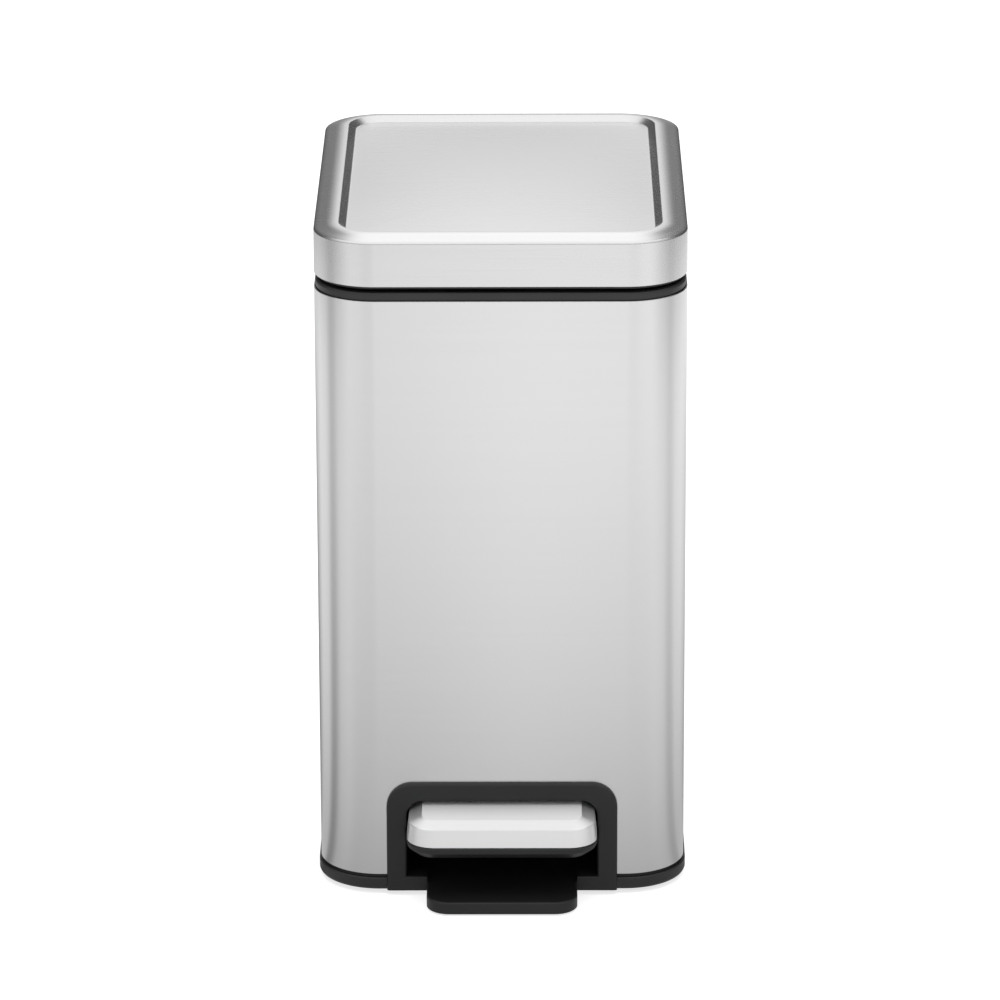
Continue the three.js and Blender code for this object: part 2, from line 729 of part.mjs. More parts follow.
function damper() {
  const { x, y, r, low, top, stem } = DAMPER;
  const bore = r - 2.2;
  const lathe = (profile) => {
    const geometry = new THREE.LatheGeometry(
      profile.map(([radius, z]) => new THREE.Vector2(radius, z)),
      24,
    );
    return solidOf(geometry.rotateX(Math.PI / 2).translate(x, y, 0));
  };
  const cylinder = lathe([
    [stem + GAP, low],
    [r - 1, low],
    [r, low + 1],
    [r, top - 2],
    [r - 2, top],
    [0, top],
    [0, top - 3],
    [bore, top - 3],
    [bore, low + 4],
    [stem + GAP, low + 4],
    [stem + GAP, low],
  ]);
  piece("damper_cylinder", cylinder, zincSteel);
  const toe = 15.4;
  const stemPiece = lathe([
    [0, toe],
    [4, toe],
    [5, toe + 1],
    [5, toe + 4],
    [stem, toe + 5],
    [stem, low + 8],
    [bore - GAP, low + 8],
    [bore - GAP, low + 14],
    [0, low + 14],
  ]);
  piece("damper_stem", stemPiece, zincSteel);
  const clamp = block(x - 12, x + 12, y - r - 2.5, INSIDE_REAR, CLAMP_Z - 8, CLAMP_Z + 8).subtract(
    bar([x, y, CLAMP_Z - 12], [x, y, CLAMP_Z + 12], r + GAP, 24),
  );
  piece("damper_clamp", clamp, blackPlastic);
}

function screws() {
  for (const [side, s] of SIDES) {
    for (const [end, sy] of [["front", -1], ["rear", 1]]) {
      const seat = [s * 30.5, PIVOT.y + sy * 14, 10 + GAP];
      screw(`pivot_screw_${side}_${end}`, seat, [0, 0, -1], 6.2, [`pivot_block_${side}`, "base_tray"]);
    }
    for (const [level, z] of [["low", HINGE.z - 20.5], ["high", HINGE.z - 9]]) {
      const seat = [s * 36, REAR + GAP + 2 + GAP, z];
      const through = ["hinge_bracket", "outer_shell", "top_rim"];
      screw(`hinge_screw_${side}_${level}`, seat, FORWARD, 8, through);
    }
    const clampSeat = [DAMPER.x + s * 10, REAR + GAP, CLAMP_Z];
    screw(`damper_screw_${side}`, clampSeat, FORWARD, 9, ["outer_shell", "damper_clamp"]);
    screw(`arm_screw_${side}`, [s * 5.4, HINGE.y - 40, LEAF.low - GAP - 2 - GAP], UP, 7, [
      "lift_arm",
      "hinge_leaf",
      "lid_liner",
    ]);
    screw(`leaf_screw_${side}`, [s * 16, HINGE.y - 26, LEAF.low - GAP], UP, 5, ["hinge_leaf", "lid_liner"]);
    const pedalSeat = [s * 14, FRONT - 8, SEAT_Z - STRIP - GAP];
    screw(`pedal_screw_${side}`, pedalSeat, UP, 8, ["pedal_lever", "pedal_tray"]);
  }
  screw("guide_screw", [ROD_X, REAR + GAP, GUIDE_Z], FORWARD, 6, ["outer_shell", "rod_guide"]);
}

outerShell();
baseTray();
pedalFrame();
feet();
topRim();
innerBucket();
lidCap();
lidLiner();
lidBumpers();
hingeBracket();
hingePin();
hingeLeaf();
liftArm();
pedalLever();
pedalTray();
pedalCap();
pivotParts();
pushRod();
rodGuide();
damper();
screws();

for (const [name, solid] of solids) {
  const mesh = new THREE.Mesh(geometryOf(solid), materials.get(name));
  mesh.name = name;
  bin.add(mesh);
}

export default bin;
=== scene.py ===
"""A slim pedal bin: brushed steel tube and lid, black plastic base, rim, pedal frame and inner bucket.

Lengths in this script are millimetres until a mesh is written, when they become metres.
"""

import json
import math

import bmesh
import bpy
from mathutils import Matrix, Vector

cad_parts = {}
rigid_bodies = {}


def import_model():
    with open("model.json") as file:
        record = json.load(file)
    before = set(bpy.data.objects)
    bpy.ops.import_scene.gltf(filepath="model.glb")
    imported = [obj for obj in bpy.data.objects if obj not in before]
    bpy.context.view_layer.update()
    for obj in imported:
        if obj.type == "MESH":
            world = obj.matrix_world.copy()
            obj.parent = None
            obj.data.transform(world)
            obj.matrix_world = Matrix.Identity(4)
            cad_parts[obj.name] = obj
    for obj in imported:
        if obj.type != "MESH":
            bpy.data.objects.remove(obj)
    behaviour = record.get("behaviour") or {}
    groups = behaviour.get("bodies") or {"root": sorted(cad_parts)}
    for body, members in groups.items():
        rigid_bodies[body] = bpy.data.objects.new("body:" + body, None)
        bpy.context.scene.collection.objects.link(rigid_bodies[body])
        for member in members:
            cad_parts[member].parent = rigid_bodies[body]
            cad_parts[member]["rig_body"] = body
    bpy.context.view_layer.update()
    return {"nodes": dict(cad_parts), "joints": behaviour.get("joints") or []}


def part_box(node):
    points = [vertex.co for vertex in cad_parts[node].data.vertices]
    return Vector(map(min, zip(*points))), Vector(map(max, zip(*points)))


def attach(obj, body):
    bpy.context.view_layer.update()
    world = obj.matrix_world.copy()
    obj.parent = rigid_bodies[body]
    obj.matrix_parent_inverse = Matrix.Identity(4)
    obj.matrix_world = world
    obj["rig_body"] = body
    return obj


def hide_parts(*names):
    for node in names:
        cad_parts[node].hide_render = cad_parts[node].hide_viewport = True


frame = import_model()

MM = 0.001
ROUND_STEPS = 14  # facets in each rounded corner of a swept wall
SHARP = math.radians(32)  # edges steeper than this stay crisp


# ---- sizes, read from the frame

def span(node):
    low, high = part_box(node)
    return low / MM, high / MM


shell_low, shell_high = span("outer_shell")
lid_low, lid_high = span("lid_cap")
rim_low, rim_high = span("top_rim")
base_low, base_high = span("base_tray")
liner_low, liner_high = span("lid_liner")
frame_low, frame_high = span("pedal_frame")
cap_low, cap_high = span("pedal_cap")
tray_low, tray_high = span("pedal_tray")
bucket_low, bucket_high = span("inner_bucket")

HALF_W = shell_high.x
HALF_D = (shell_high.y - shell_low.y) / 2
CENTRE_Y = (shell_high.y + shell_low.y) / 2
FRONT = shell_low.y
REAR = shell_high.y
CORNER = 33  # radius of the tube's upright corners
SHEET = 0.8  # thickness of the steel
BODY = (HALF_W, HALF_D, CORNER, CENTRE_Y)

joints = {j["name"]: j for j in frame["joints"]}
HINGE_Y, HINGE_Z = (joints["lid_hinge"]["pos_m"][i] / MM for i in (1, 2))
PIVOT_Y, PIVOT_Z = (joints["pedal_pivot"]["pos_m"][i] / MM for i in (1, 2))
ROD_Y = joints["rod_swing"]["pos_m"][1] / MM


# ---- colours and material nodes

def linear(hex_colour):
    """A sRGB hex colour as linear RGBA."""
    parts = [int(hex_colour[i : i + 2], 16) / 255 for i in (1, 3, 5)]
    return [c / 12.92 if c <= 0.04045 else ((c + 0.055) / 1.055) ** 2.4 for c in parts] + [1]


def fill(node, inputs):
    """Fills a node's inputs. inputs maps a socket's name or number to a plain value, to a socket, or to a
    node whose first output is meant."""
    for key, value in inputs.items():
        if isinstance(value, bpy.types.Node):
            value = value.outputs[0]
        if isinstance(value, bpy.types.NodeSocket):
            node.id_data.links.new(value, node.inputs[key])
        else:
            node.inputs[key].default_value = value


def add_node(tree, kind, inputs=None, stops=(), **settings):
    """Adds a node. stops are a colour ramp's points: a position with its grey or its colour."""
    node = tree.nodes.new(kind)
    for name, value in settings.items():
        setattr(node, name, value)
    fill(node, inputs or {})
    if stops:
        points = node.color_ramp.elements
        for position, _ in stops[1:-1]:
            points.new(position)
        for point, (position, value) in zip(points, stops):
            point.position = position
            point.color = value if isinstance(value, list) else [value, value, value, 1]
    return node


def new_material(name):
    material = bpy.data.materials.new(name)
    material.use_nodes = True
    tree = material.node_tree
    tree.nodes.clear()
    shader = add_node(tree, "ShaderNodeBsdfPrincipled")
    add_node(tree, "ShaderNodeOutputMaterial", {"Surface": shader})
    place = add_node(tree, "ShaderNodeTexCoord").outputs["Object"]
    return material, tree, shader, place


BELT_MARKS = ((2.6, 140, 2.0), (1.1, 60, 1.0))  # width and run in mm, and detail, of streaks and hairs
CLOUD = 70  # mm, size of the patches where the film is a little duller
ASIDE = 0.72  # a face whose normal has this much X is one of the side walls


def grained_steel(name, colour, roughness, stretch, wear, polish=0.0):
    """Ferritic stainless sheet, belt-brushed, under a thin clear film against fingerprints.

    The belt leaves hairlines about 0.2 mm apart. They are too fine to see one by one, so what shows is a
    reflection spread across the grain, and faint streaks one to three millimetres wide. The grain runs
    along X, and along Y on the side walls, because the sheet is bent round them. wear is how much the
    finish varies. polish is how much smoother the faces are that turn aside, where a press die rubs them.
    """
    material, tree, shader, place = new_material(name)
    normal = add_node(tree, "ShaderNodeNewGeometry").outputs["Normal"]
    x, y, z = add_node(tree, "ShaderNodeSeparateXYZ", {0: place}).outputs
    swapped = add_node(tree, "ShaderNodeCombineXYZ", {0: y, 1: x, 2: z})
    facing = add_node(tree, "ShaderNodeSeparateXYZ", {0: normal}).outputs["X"]
    aside = add_node(tree, "ShaderNodeMath", {0: facing}, operation="ABSOLUTE")
    side_wall = add_node(tree, "ShaderNodeMath", {0: aside, 1: ASIDE}, operation="GREATER_THAN")
    along = add_node(
        tree, "ShaderNodeMix", {"Factor": side_wall, 4: place, 5: swapped}, data_type="VECTOR"
    ).outputs[1]
    marks = []
    for width, run, detail in BELT_MARKS:
        scale = [1 / (run * MM), 1 / (width * MM), 1 / (width * MM)]
        stretched = add_node(tree, "ShaderNodeMapping", {"Vector": along, "Scale": scale})
        noise = {"Vector": stretched, "Scale": 1.0, "Detail": detail, "Roughness": 0.5}
        marks.append(add_node(tree, "ShaderNodeTexNoise", noise).outputs["Fac"])
    streaks, hairs = marks
    noise = {"Vector": place, "Scale": 1 / (CLOUD * MM), "Detail": 2.0, "Roughness": 0.5}
    cloud = add_node(tree, "ShaderNodeTexNoise", noise).outputs["Fac"]
    base = linear(colour)
    darker = [c * (1 - 2 * wear) for c in base[:3]] + [1]
    tint = add_node(tree, "ShaderNodeValToRGB", {"Fac": streaks}, [(0.3, darker), (0.7, base)])
    both = add_node(tree, "ShaderNodeMix", {"Factor": 0.5, 2: cloud, 3: hairs}, data_type="FLOAT")
    limits = {"From Min": 0.3, "From Max": 0.7, "To Min": roughness - wear, "To Max": roughness + wear}
    worn = add_node(tree, "ShaderNodeMapRange", {"Value": both, **limits})
    limits = {"From Min": 0.08, "From Max": 0.3, "To Max": polish}
    shine = add_node(tree, "ShaderNodeMapRange", {"Value": aside, **limits})
    finish = add_node(tree, "ShaderNodeMath", {0: worn, 1: shine}, operation="SUBTRACT")
    across = add_node(tree, "ShaderNodeVectorMath", {0: normal, 1: (1, 0, 0)}, operation="CROSS_PRODUCT")
    # A face square to X has no cross product, so a little Y keeps its direction steady.
    steady = add_node(tree, "ShaderNodeVectorMath", {0: across, 1: (0, 0.05, 0)}, operation="ADD")
    fill(shader, {"Base Color": tint, "Metallic": 1.0, "Roughness": finish})
    fill(shader, {"Anisotropic": stretch, "Tangent": steady})
    return material


FLOW = 35  # mm, size of the shade changes where the melt cooled at different speeds
PIT = 0.05  # mm, depth of the spark-eroded grit


def moulded_plastic(name, colour, roughness, grit_mm, depth, level=0.5):
    """Injection-moulded plastic. The mould is spark-eroded, which leaves an even, fine orange-peel grit."""
    material, tree, shader, place = new_material(name)
    noise = {"Vector": place, "Scale": 1 / (grit_mm * MM), "Detail": 4.0, "Roughness": 0.65}
    grit = add_node(tree, "ShaderNodeTexNoise", noise).outputs["Fac"]
    noise = {"Vector": place, "Scale": 1 / (FLOW * MM), "Detail": 2.0, "Roughness": 0.5}
    flow = add_node(tree, "ShaderNodeTexNoise", noise).outputs["Fac"]
    base = linear(colour)
    lighter = [c * 1.18 for c in base[:3]] + [1]
    tint = add_node(tree, "ShaderNodeValToRGB", {"Fac": flow}, [(0.35, base), (0.65, lighter)])
    limits = {"From Min": 0.3, "From Max": 0.7, "To Min": roughness - 0.05, "To Max": roughness + 0.06}
    sheen = add_node(tree, "ShaderNodeMapRange", {"Value": grit, **limits})
    bump = add_node(tree, "ShaderNodeBump", {"Height": grit, "Strength": depth, "Distance": PIT * MM})
    fill(shader, {"Base Color": tint, "Roughness": sheen, "Normal": bump})
    fill(shader, {"IOR": 1.49, "Specular IOR Level": level})
    return material


def zinc_plate():
    """Bright zinc plating on mild steel: small bluish crystals and a soft, slightly cloudy shine."""
    material, tree, shader, place = new_material("zinc_plated_steel")
    crystals = add_node(tree, "ShaderNodeTexVoronoi", {"Vector": place, "Scale": 1 / (2.5 * MM)})
    stops = [(0.2, linear("#A9AFB5")), (0.8, linear("#BCC1C6"))]
    tint = add_node(tree, "ShaderNodeValToRGB", {"Fac": crystals}, stops)
    cloud = add_node(tree, "ShaderNodeTexNoise", {"Vector": place, "Scale": 1 / (9 * MM), "Detail": 3.0})
    limits = {"From Min": 0.3, "From Max": 0.7, "To Min": 0.24, "To Max": 0.38}
    dull = add_node(tree, "ShaderNodeMapRange", {"Value": cloud.outputs["Fac"], **limits})
    fill(shader, {"Base Color": tint, "Metallic": 1.0, "Roughness": dull})
    return material


tube_steel = grained_steel("brushed_stainless_tube", "#D6D6D6", 0.24, 0.6, 0.005)
lid_steel = grained_steel("brushed_stainless_lid", "#D6D6D6", 0.27, 0.2, 0.008)
# The pedal is the same steel as the tube and lid, but its colour is painted much lighter: painted light that
# brightens the pedal where the black frame over it shades it.
pedal_steel_painted_lighter = grained_steel("brushed_stainless_pedal_painted_lighter", "#FBFBFB", 0.53, 0.8, 0.01, 0.2)
black_pp = moulded_plastic("black_polypropylene", "#1B1B1C", 0.42, 0.45, 0.35, 0.45)
frame_pp = moulded_plastic("black_pedal_surround", "#1A1A1B", 0.40, 0.45, 0.30, 0.35)
rim_abs = moulded_plastic("dark_grey_rim_plastic", "#262627", 0.38, 0.5, 0.20, 0.35)
bucket_pp = moulded_plastic("grey_bucket_polypropylene", "#4A4C4E", 0.5, 0.7, 0.30)
foot_rubber = moulded_plastic("soft_foot_rubber", "#1B1B1C", 0.8, 0.3, 0.5, 0.3)
zinc = zinc_plate()


# ---- mesh helpers

def mark_sharp(mesh, angle=SHARP):
    """Smooth faces, with a crisp line where two faces meet steeply."""
    work = bmesh.new()
    work.from_mesh(mesh)
    for face in work.faces:
        face.smooth = True
    for edge in work.edges:
        edge.smooth = len(edge.link_faces) == 2 and edge.calc_face_angle(0) < angle
    work.to_mesh(mesh)
    work.free()


def make_piece(name, mesh):
    piece = bpy.data.objects.new(name, mesh)
    bpy.context.scene.collection.objects.link(piece)
    return piece


def mesh_of(name, points, faces):
    """A mesh from points in millimetres."""
    mesh = bpy.data.meshes.new(name)
    mesh.from_pydata([tuple(c * MM for c in p) for p in points], [], faces)
    mesh.validate()
    return mesh


def settle(piece):
    """Applies the piece's modifiers to its mesh."""
    graph = bpy.context.evaluated_depsgraph_get()
    mesh = bpy.data.meshes.new_from_object(piece.evaluated_get(graph))
    piece.modifiers.clear()
    piece.data = mesh
    return piece


def bevelled(piece, width, segments=3, angle=40):
    bevel = piece.modifiers.new("edges", "BEVEL")
    bevel.width = width * MM
    bevel.segments = segments
    bevel.limit_method = "ANGLE"
    bevel.angle_limit = math.radians(angle)
    bevel.miter_outer = "MITER_ARC"
    return settle(piece)


def combined(piece, *tools, operation="DIFFERENCE"):
    """Cuts the tools out of the piece, or joins them to it."""
    for tool in tools:
        change = piece.modifiers.new("cut", "BOOLEAN")
        change.operation = operation
        change.solver = "EXACT"
        change.object = tool
    settle(piece)
    for tool in tools:
        bpy.data.objects.remove(tool)
    return piece


def dressed(piece, body, material, slot, *nodes, angle=SHARP):
    """The last step for a piece: its normals, its finish, the nodes it stands for and its body."""
    mesh = piece.data
    mesh.materials.clear()
    mesh.materials.append(material)
    for face in mesh.polygons:
        face.material_index = 0
    mark_sharp(mesh, angle)
    weigh = piece.modifiers.new("flat faces stay flat", "WEIGHTED_NORMAL")
    weigh.keep_sharp = True
    settle(piece)
    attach(piece, body)
    if nodes:
        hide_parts(*nodes)
    return piece


def outline(half_w, half_d, corner, centre_y, steps=ROUND_STEPS, along=0):
    """Points of a rounded rectangle, anticlockwise from the +X side.

    along is an even number of points to add to each straight side.
    """
    radius = max(corner, 0.35)
    points = []
    for quarter, (sx, sy) in enumerate([(1, 1), (-1, 1), (-1, -1), (1, -1)]):
        for i in range(steps + 1):
            a = (quarter + i / steps) * math.pi / 2
            x = sx * (half_w - radius) + radius * math.cos(a)
            y = centre_y + sy * (half_d - radius) + radius * math.sin(a)
            points.append((x, y))
    if not along:
        return points
    full = []
    for i, (x, y) in enumerate(points):
        full.append((x, y))
        if i % (steps + 1) == steps:
            next_x, next_y = points[(i + 1) % len(points)]
            for k in range(1, along + 1):
                t = k / (along + 1)
                full.append((x + (next_x - x) * t, y + (next_y - y) * t))
    return full


def swept(name, profile, footprint, closed=False, steps=ROUND_STEPS, along=0):
    """Carries a profile of (inset, z) points round a rounded rectangle.

    A closed profile makes a ring. An open one makes a pan, whose first and last rings are closed by strips
    from side to side.
    """
    half_w, half_d, corner, centre_y = footprint
    rings = [
        [
            (x, y, z)
            for x, y in outline(half_w - inset, half_d - inset, corner - inset, centre_y, steps, along)
        ]
        for inset, z in profile
    ]
    count = len(rings[0])
    points = [p for ring in rings for p in ring]
    faces = []
    pairs = list(range(len(rings) - 1)) + ([len(rings) - 1] if closed else [])
    for k in pairs:
        a, b = k * count, ((k + 1) % len(rings)) * count
        for i in range(count):
            j = (i + 1) % count
            faces.append((a + i, a + j, b + j, b + i))
    if not closed:
        mirror = 2 * (steps + 1) + along - 1
        half = (mirror + 1) // 2
        end = (len(rings) - 1) * count
        for i in range(half - count // 2, half - 1):
            a, b, c, d = i % count, (i + 1) % count, (mirror - i - 1) % count, (mirror - i) % count
            faces.append((d, c, b, a))
            faces.append((end + a, end + b, end + c, end + d))
    return make_piece(name, mesh_of(name, points, faces))


def rounded_path(points, closed=False, steps=5):
    """Rounds a profile's corners. Each point is (u, v) or (u, v, radius)."""
    result = []
    count = len(points)
    for i, point in enumerate(points):
        here = Vector(point[:2])
        radius = point[2] if len(point) > 2 else 0
        if radius == 0 or (not closed and i in (0, count - 1)):
            result.append(tuple(here))
            continue
        before = Vector(points[i - 1][:2]) - here
        after = Vector(points[(i + 1) % count][:2]) - here
        turn = before.angle(after)
        reach = min(radius / math.tan(turn / 2), before.length * 0.49, after.length * 0.49)
        radius = reach * math.tan(turn / 2)
        start, end = here + before.normalized() * reach, here + after.normalized() * reach
        middle = here + (before.normalized() + after.normalized()).normalized() * (
            radius / math.sin(turn / 2)
        )
        first, last = start - middle, end - middle
        sweep = first.angle_signed(last)
        for k in range(steps + 1):
            a = -sweep * k / steps
            c, s = math.cos(a), math.sin(a)
            spoke = Vector((first.x * c - first.y * s, first.x * s + first.y * c))
            result.append(tuple(middle + spoke))
    return result


def slab(name, shape, place, low, high):
    """A flat shape of (u, v) points made thick from low to high. place turns (u, v, w) into (x, y, z)."""
    count = len(shape)
    points = [place(u, v, low) for u, v in shape] + [place(u, v, high) for u, v in shape]
    faces = [tuple(reversed(range(count))), tuple(range(count, 2 * count))]
    faces += [(i, (i + 1) % count, count + (i + 1) % count, count + i) for i in range(count)]
    mesh = mesh_of(name, points, faces)
    outward(mesh)
    return make_piece(name, mesh)


def outward(mesh):
    """Merges doubles and turns every face outwards."""
    work = bmesh.new()
    work.from_mesh(mesh)
    bmesh.ops.remove_doubles(work, verts=work.verts, dist=1e-7)
    bmesh.ops.recalc_face_normals(work, faces=work.faces)
    work.to_mesh(mesh)
    work.free()


def sideways(u, v, w):
    """A shape in YZ, thick along X."""
    return w, u, v


def forwards(u, v, w):
    """A shape in XZ, thick along Y."""
    return u, w, v


def flat(u, v, w):
    """A shape in XY, thick along Z."""
    return u, v, w


def block(name, x, y, z):
    shape = [(x[0], y[0]), (x[1], y[0]), (x[1], y[1]), (x[0], y[1])]
    return slab(name, shape, flat, *z)


def arch(half_w, top, radius, foot, steps=12):
    """An upright shape with round top corners and a square foot."""
    points = [(half_w, foot)]
    for cx, start in ((half_w - radius, 0), (radius - half_w, math.pi / 2)):
        for i in range(steps + 1):
            a = start + i / steps * math.pi / 2
            points.append((cx + radius * math.cos(a), top - radius + radius * math.sin(a)))
    return points + [(-half_w, foot)]


def bar(name, start, end, radius, sides=32):
    """A round bar between two points, with its rims softened."""
    a, b = Vector(start), Vector(end)
    length = (b - a).length
    soft = min(0.3, radius * 0.2, length * 0.2)
    rim = radius - soft
    profile = [(0, 0), (rim, 0), (radius, soft), (radius, length - soft), (rim, length), (0, length)]
    turn = Vector((0, 0, 1)).rotation_difference(b - a).to_matrix().to_4x4()
    return turned(name, profile, Matrix.Translation(a) @ turn, sides)


def turned(name, profile, place=Matrix(), sides=48):
    """A lathe-turned piece: (radius, height) points round the local Z axis, then put in place."""
    points, faces, rows = [], [], []
    for radius, height in profile:
        if radius < 1e-6:
            rows.append([len(points)])
            points.append(place @ Vector((0, 0, height)))
            continue
        rows.append(list(range(len(points), len(points) + sides)))
        for i in range(sides):
            a = 2 * math.pi * i / sides
            points.append(place @ Vector((radius * math.cos(a), radius * math.sin(a), height)))
    for lower, upper in zip(rows, rows[1:]):
        for i in range(sides):
            j = (i + 1) % sides
            below, above = len(lower), len(upper)
            corners = [lower[i % below], lower[j % below], upper[j % above], upper[i % above]]
            unique = list(dict.fromkeys(corners))
            if len(unique) > 2:
                faces.append(tuple(unique))
    mesh = mesh_of(name, points, faces)
    outward(mesh)
    return make_piece(name, mesh)


def refined(node, width, segments=2, angle=28):
    """The node's own solid with its flat faces merged and its edges softened, as a new piece."""
    mesh = frame["nodes"][node].data.copy()
    mesh.name = node + "_fine"
    work = bmesh.new()
    work.from_mesh(mesh)
    bmesh.ops.remove_doubles(work, verts=work.verts, dist=1e-6)
    bmesh.ops.dissolve_limit(work, angle_limit=math.radians(1.5), verts=work.verts, edges=work.edges)
    work.to_mesh(mesh)
    work.free()
    piece = make_piece(node + "_fine", mesh)
    if width:
        bevelled(piece, width, segments, angle)
    return piece


# ---- steel tube

SEAM_X = 62.05  # where the lock seam stands across the back


def build_shell():
    """The rolled tube. Both rims are hemmed inwards, and a flat lock seam runs up the back."""
    low, high = shell_low.z, shell_high.z - 0.3
    profile = rounded_path(
        [(0, low, 0.35), (0, high, 0.35), (SHEET, high, 0.35), (SHEET, low, 0.35)],
        closed=True,
        steps=3,
    )
    shell = swept("steel_tube", profile, BODY, closed=True, steps=24)
    notch = slab("notch", arch(57, 61.1, 6, 0), forwards, FRONT + 20, FRONT - 10)
    seam = block("seam", (SEAM_X - 0.15, SEAM_X + 0.15), (REAR - 0.25, REAR + 1), (low - 1, high + 1))
    combined(shell, notch, seam)
    return dressed(shell, "bin", tube_steel, "brushed_steel_skin", "outer_shell")


# ---- lid

BORDER = 13.5  # width of the raised border
STRAIGHT, EASE = 6.5, 6.0  # the border climbs steadily over the first, then levels out over the second
SLOPE = math.tan(math.radians(15.5))
RECESS = 2.8  # depth of the panel under the crest
CROWN = 1.5  # how far the panel's middle stands above its edge
MIDDLE = 97  # inset of the last ring, close to the lid's middle


def climb(inset):
    """How far the lid's border has risen at this distance from its edge."""
    return SLOPE * (inset - max(inset - STRAIGHT, 0) ** 2 / (2 * EASE))


def build_lid_cap():
    """Pressed lid: the skirt turns over a tight edge, the border climbs to a crest, and the panel sits lower
    inside it, slightly domed."""
    low, crest = lid_low.z, lid_high.z
    panel = crest - RECESS
    swell = climb(STRAIGHT + EASE)
    outer = rounded_path(
        [
            (SHEET, low + 3),
            (SHEET, low, 0.4),
            (0, low, 0.9),
            (0, crest - swell - 0.1, 1.7),
            (2.0, crest - swell + climb(2.0)),
        ],
        steps=6,
    )
    for i in range(1, 14):
        inset = 2.0 + (STRAIGHT + EASE - 2.0) * i / 13
        outer.append((inset, crest - swell + climb(inset)))
    recess = rounded_path(
        [outer[-1], (BORDER, crest, 0.8), (BORDER + 3.8, panel, 1.3), (BORDER + 8, panel + 0.1)],
        steps=6,
    )
    first = BORDER + 5
    crown = [(first + (MIDDLE - first) * i / 15, panel) for i in range(16)]
    under = [
        (SHEET, crest - 3.7),
        (BORDER - 0.2, crest - SHEET - 0.4),
        (BORDER + 4, panel - SHEET),
        (MIDDLE, panel - SHEET),
    ]
    profile = list(reversed(under)) + outer + recess[1:-1] + crown
    lid = swept("steel_lid", profile, BODY, steps=24, along=12)
    reach_x, reach_y = HALF_W - first, HALF_D - first
    for vertex in lid.data.vertices:
        u, v = vertex.co.x / MM / reach_x, (vertex.co.y / MM - CENTRE_Y) / reach_y
        if abs(vertex.co.z / MM - panel) < 0.01 and abs(u) < 1 and abs(v) < 1:
            vertex.co.z += CROWN * (1 - u * u) * (1 - v * v) * MM
    way = block("leaf_way", (-24, 24), (REAR - 8, REAR + 8), (low - 5, liner_high.z - 1.5))
    combined(lid, way)
    return dressed(lid, "lid", lid_steel, "brushed_steel_skin", "lid_cap")


PLATE_LOW = liner_high.z - 2.5


def build_liner():
    """Moulded liner: a rounded lip that meets the rim, and a flat plate braced by ribs."""
    low, top = liner_low.z, liner_high.z
    profile = rounded_path(
        [
            (84, PLATE_LOW),
            (6.4, PLATE_LOW, 1.2),
            (6.4, low, 0.7),
            (1.4, low, 1.0),
            (1.4, top, 0.6),
            (84, top),
        ],
        steps=5,
    )
    liner = swept("lid_liner_moulding", profile, BODY, steps=20)
    way = block("leaf_way", (-24.5, 24.5), (REAR - 8, REAR + 8), (low - 5, PLATE_LOW))
    combined(liner, way)
    return dressed(liner, "lid", black_pp, "black_plastic", "lid_liner")


def new_tree(name, **kinds):
    """An empty geometry-node tree with these named inputs, and each input's identifier."""
    tree = bpy.data.node_groups.new(name, "GeometryNodeTree")
    sockets = {}
    for title, kind in kinds.items():
        item = tree.interface.new_socket(title, in_out="INPUT", socket_type=f"NodeSocket{kind}")
        sockets[title] = item.identifier
    tree.interface.new_socket("Result", in_out="OUTPUT", socket_type="NodeSocketGeometry")
    return tree, sockets


def finish_tree(tree, spread):
    """Ends a tree: real meshes instead of instances, in the finish that is given."""
    given = add_node(tree, "NodeGroupInput").outputs
    real = add_node(tree, "GeometryNodeRealizeInstances", {0: spread})
    painted = add_node(tree, "GeometryNodeSetMaterial", {0: real, "Material": given["Finish"]})
    add_node(tree, "NodeGroupOutput", {0: painted})


def rib_tree():
    """Geometry nodes: a straight row of thin upright ribs, spaced evenly along X."""
    tree, sockets = new_tree(
        "liner_ribs",
        Count="Int",
        Spacing="Float",
        Length="Float",
        Height="Float",
        Thickness="Float",
        Finish="Material",
    )
    given = add_node(tree, "NodeGroupInput").outputs
    size = {"X": given["Thickness"], "Y": given["Length"], "Z": given["Height"]}
    size = add_node(tree, "ShaderNodeCombineXYZ", size)
    wall = add_node(tree, "GeometryNodeMeshCube", {"Size": size})
    offset = add_node(tree, "ShaderNodeCombineXYZ", {"X": given["Spacing"]})
    steps = {"Count": given["Count"], "Offset": offset}
    row = add_node(tree, "GeometryNodeMeshLine", steps)
    placed = {"Points": row, "Instance": wall}
    finish_tree(tree, add_node(tree, "GeometryNodeInstanceOnPoints", placed))
    return tree, sockets


def grown(name, mesh, tree, sockets, **values):
    """Runs a geometry-node tree on a mesh and keeps the result as a plain mesh."""
    piece = make_piece(name, mesh)
    maker = piece.modifiers.new("maker", "NODES")
    maker.node_group = tree
    for key, value in values.items():
        maker[sockets[key]] = value
    piece.update_tag()
    return settle(piece)


def build_liner_ribs():
    count, spacing, height = 7, 22, 5.0
    tree, sockets = rib_tree()
    ribs = grown(
        "lid_liner_ribs",
        bpy.data.meshes.new("lid_liner_ribs"),
        tree,
        sockets,
        Count=count,
        Spacing=spacing * MM,
        Length=2 * (HALF_D - 48) * MM,
        Height=height * MM,
        Thickness=1.6 * MM,
        Finish=black_pp,
    )
    corner = Vector((-spacing * (count - 1) / 2, CENTRE_Y - 22, PLATE_LOW - height / 2 + 0.05))
    ribs.data.transform(Matrix.Translation(corner * MM))
    return dressed(ribs, "lid", black_pp, "black_plastic")


# ---- top rim and bucket

SEAT_Z = bucket_high.z - 2.6


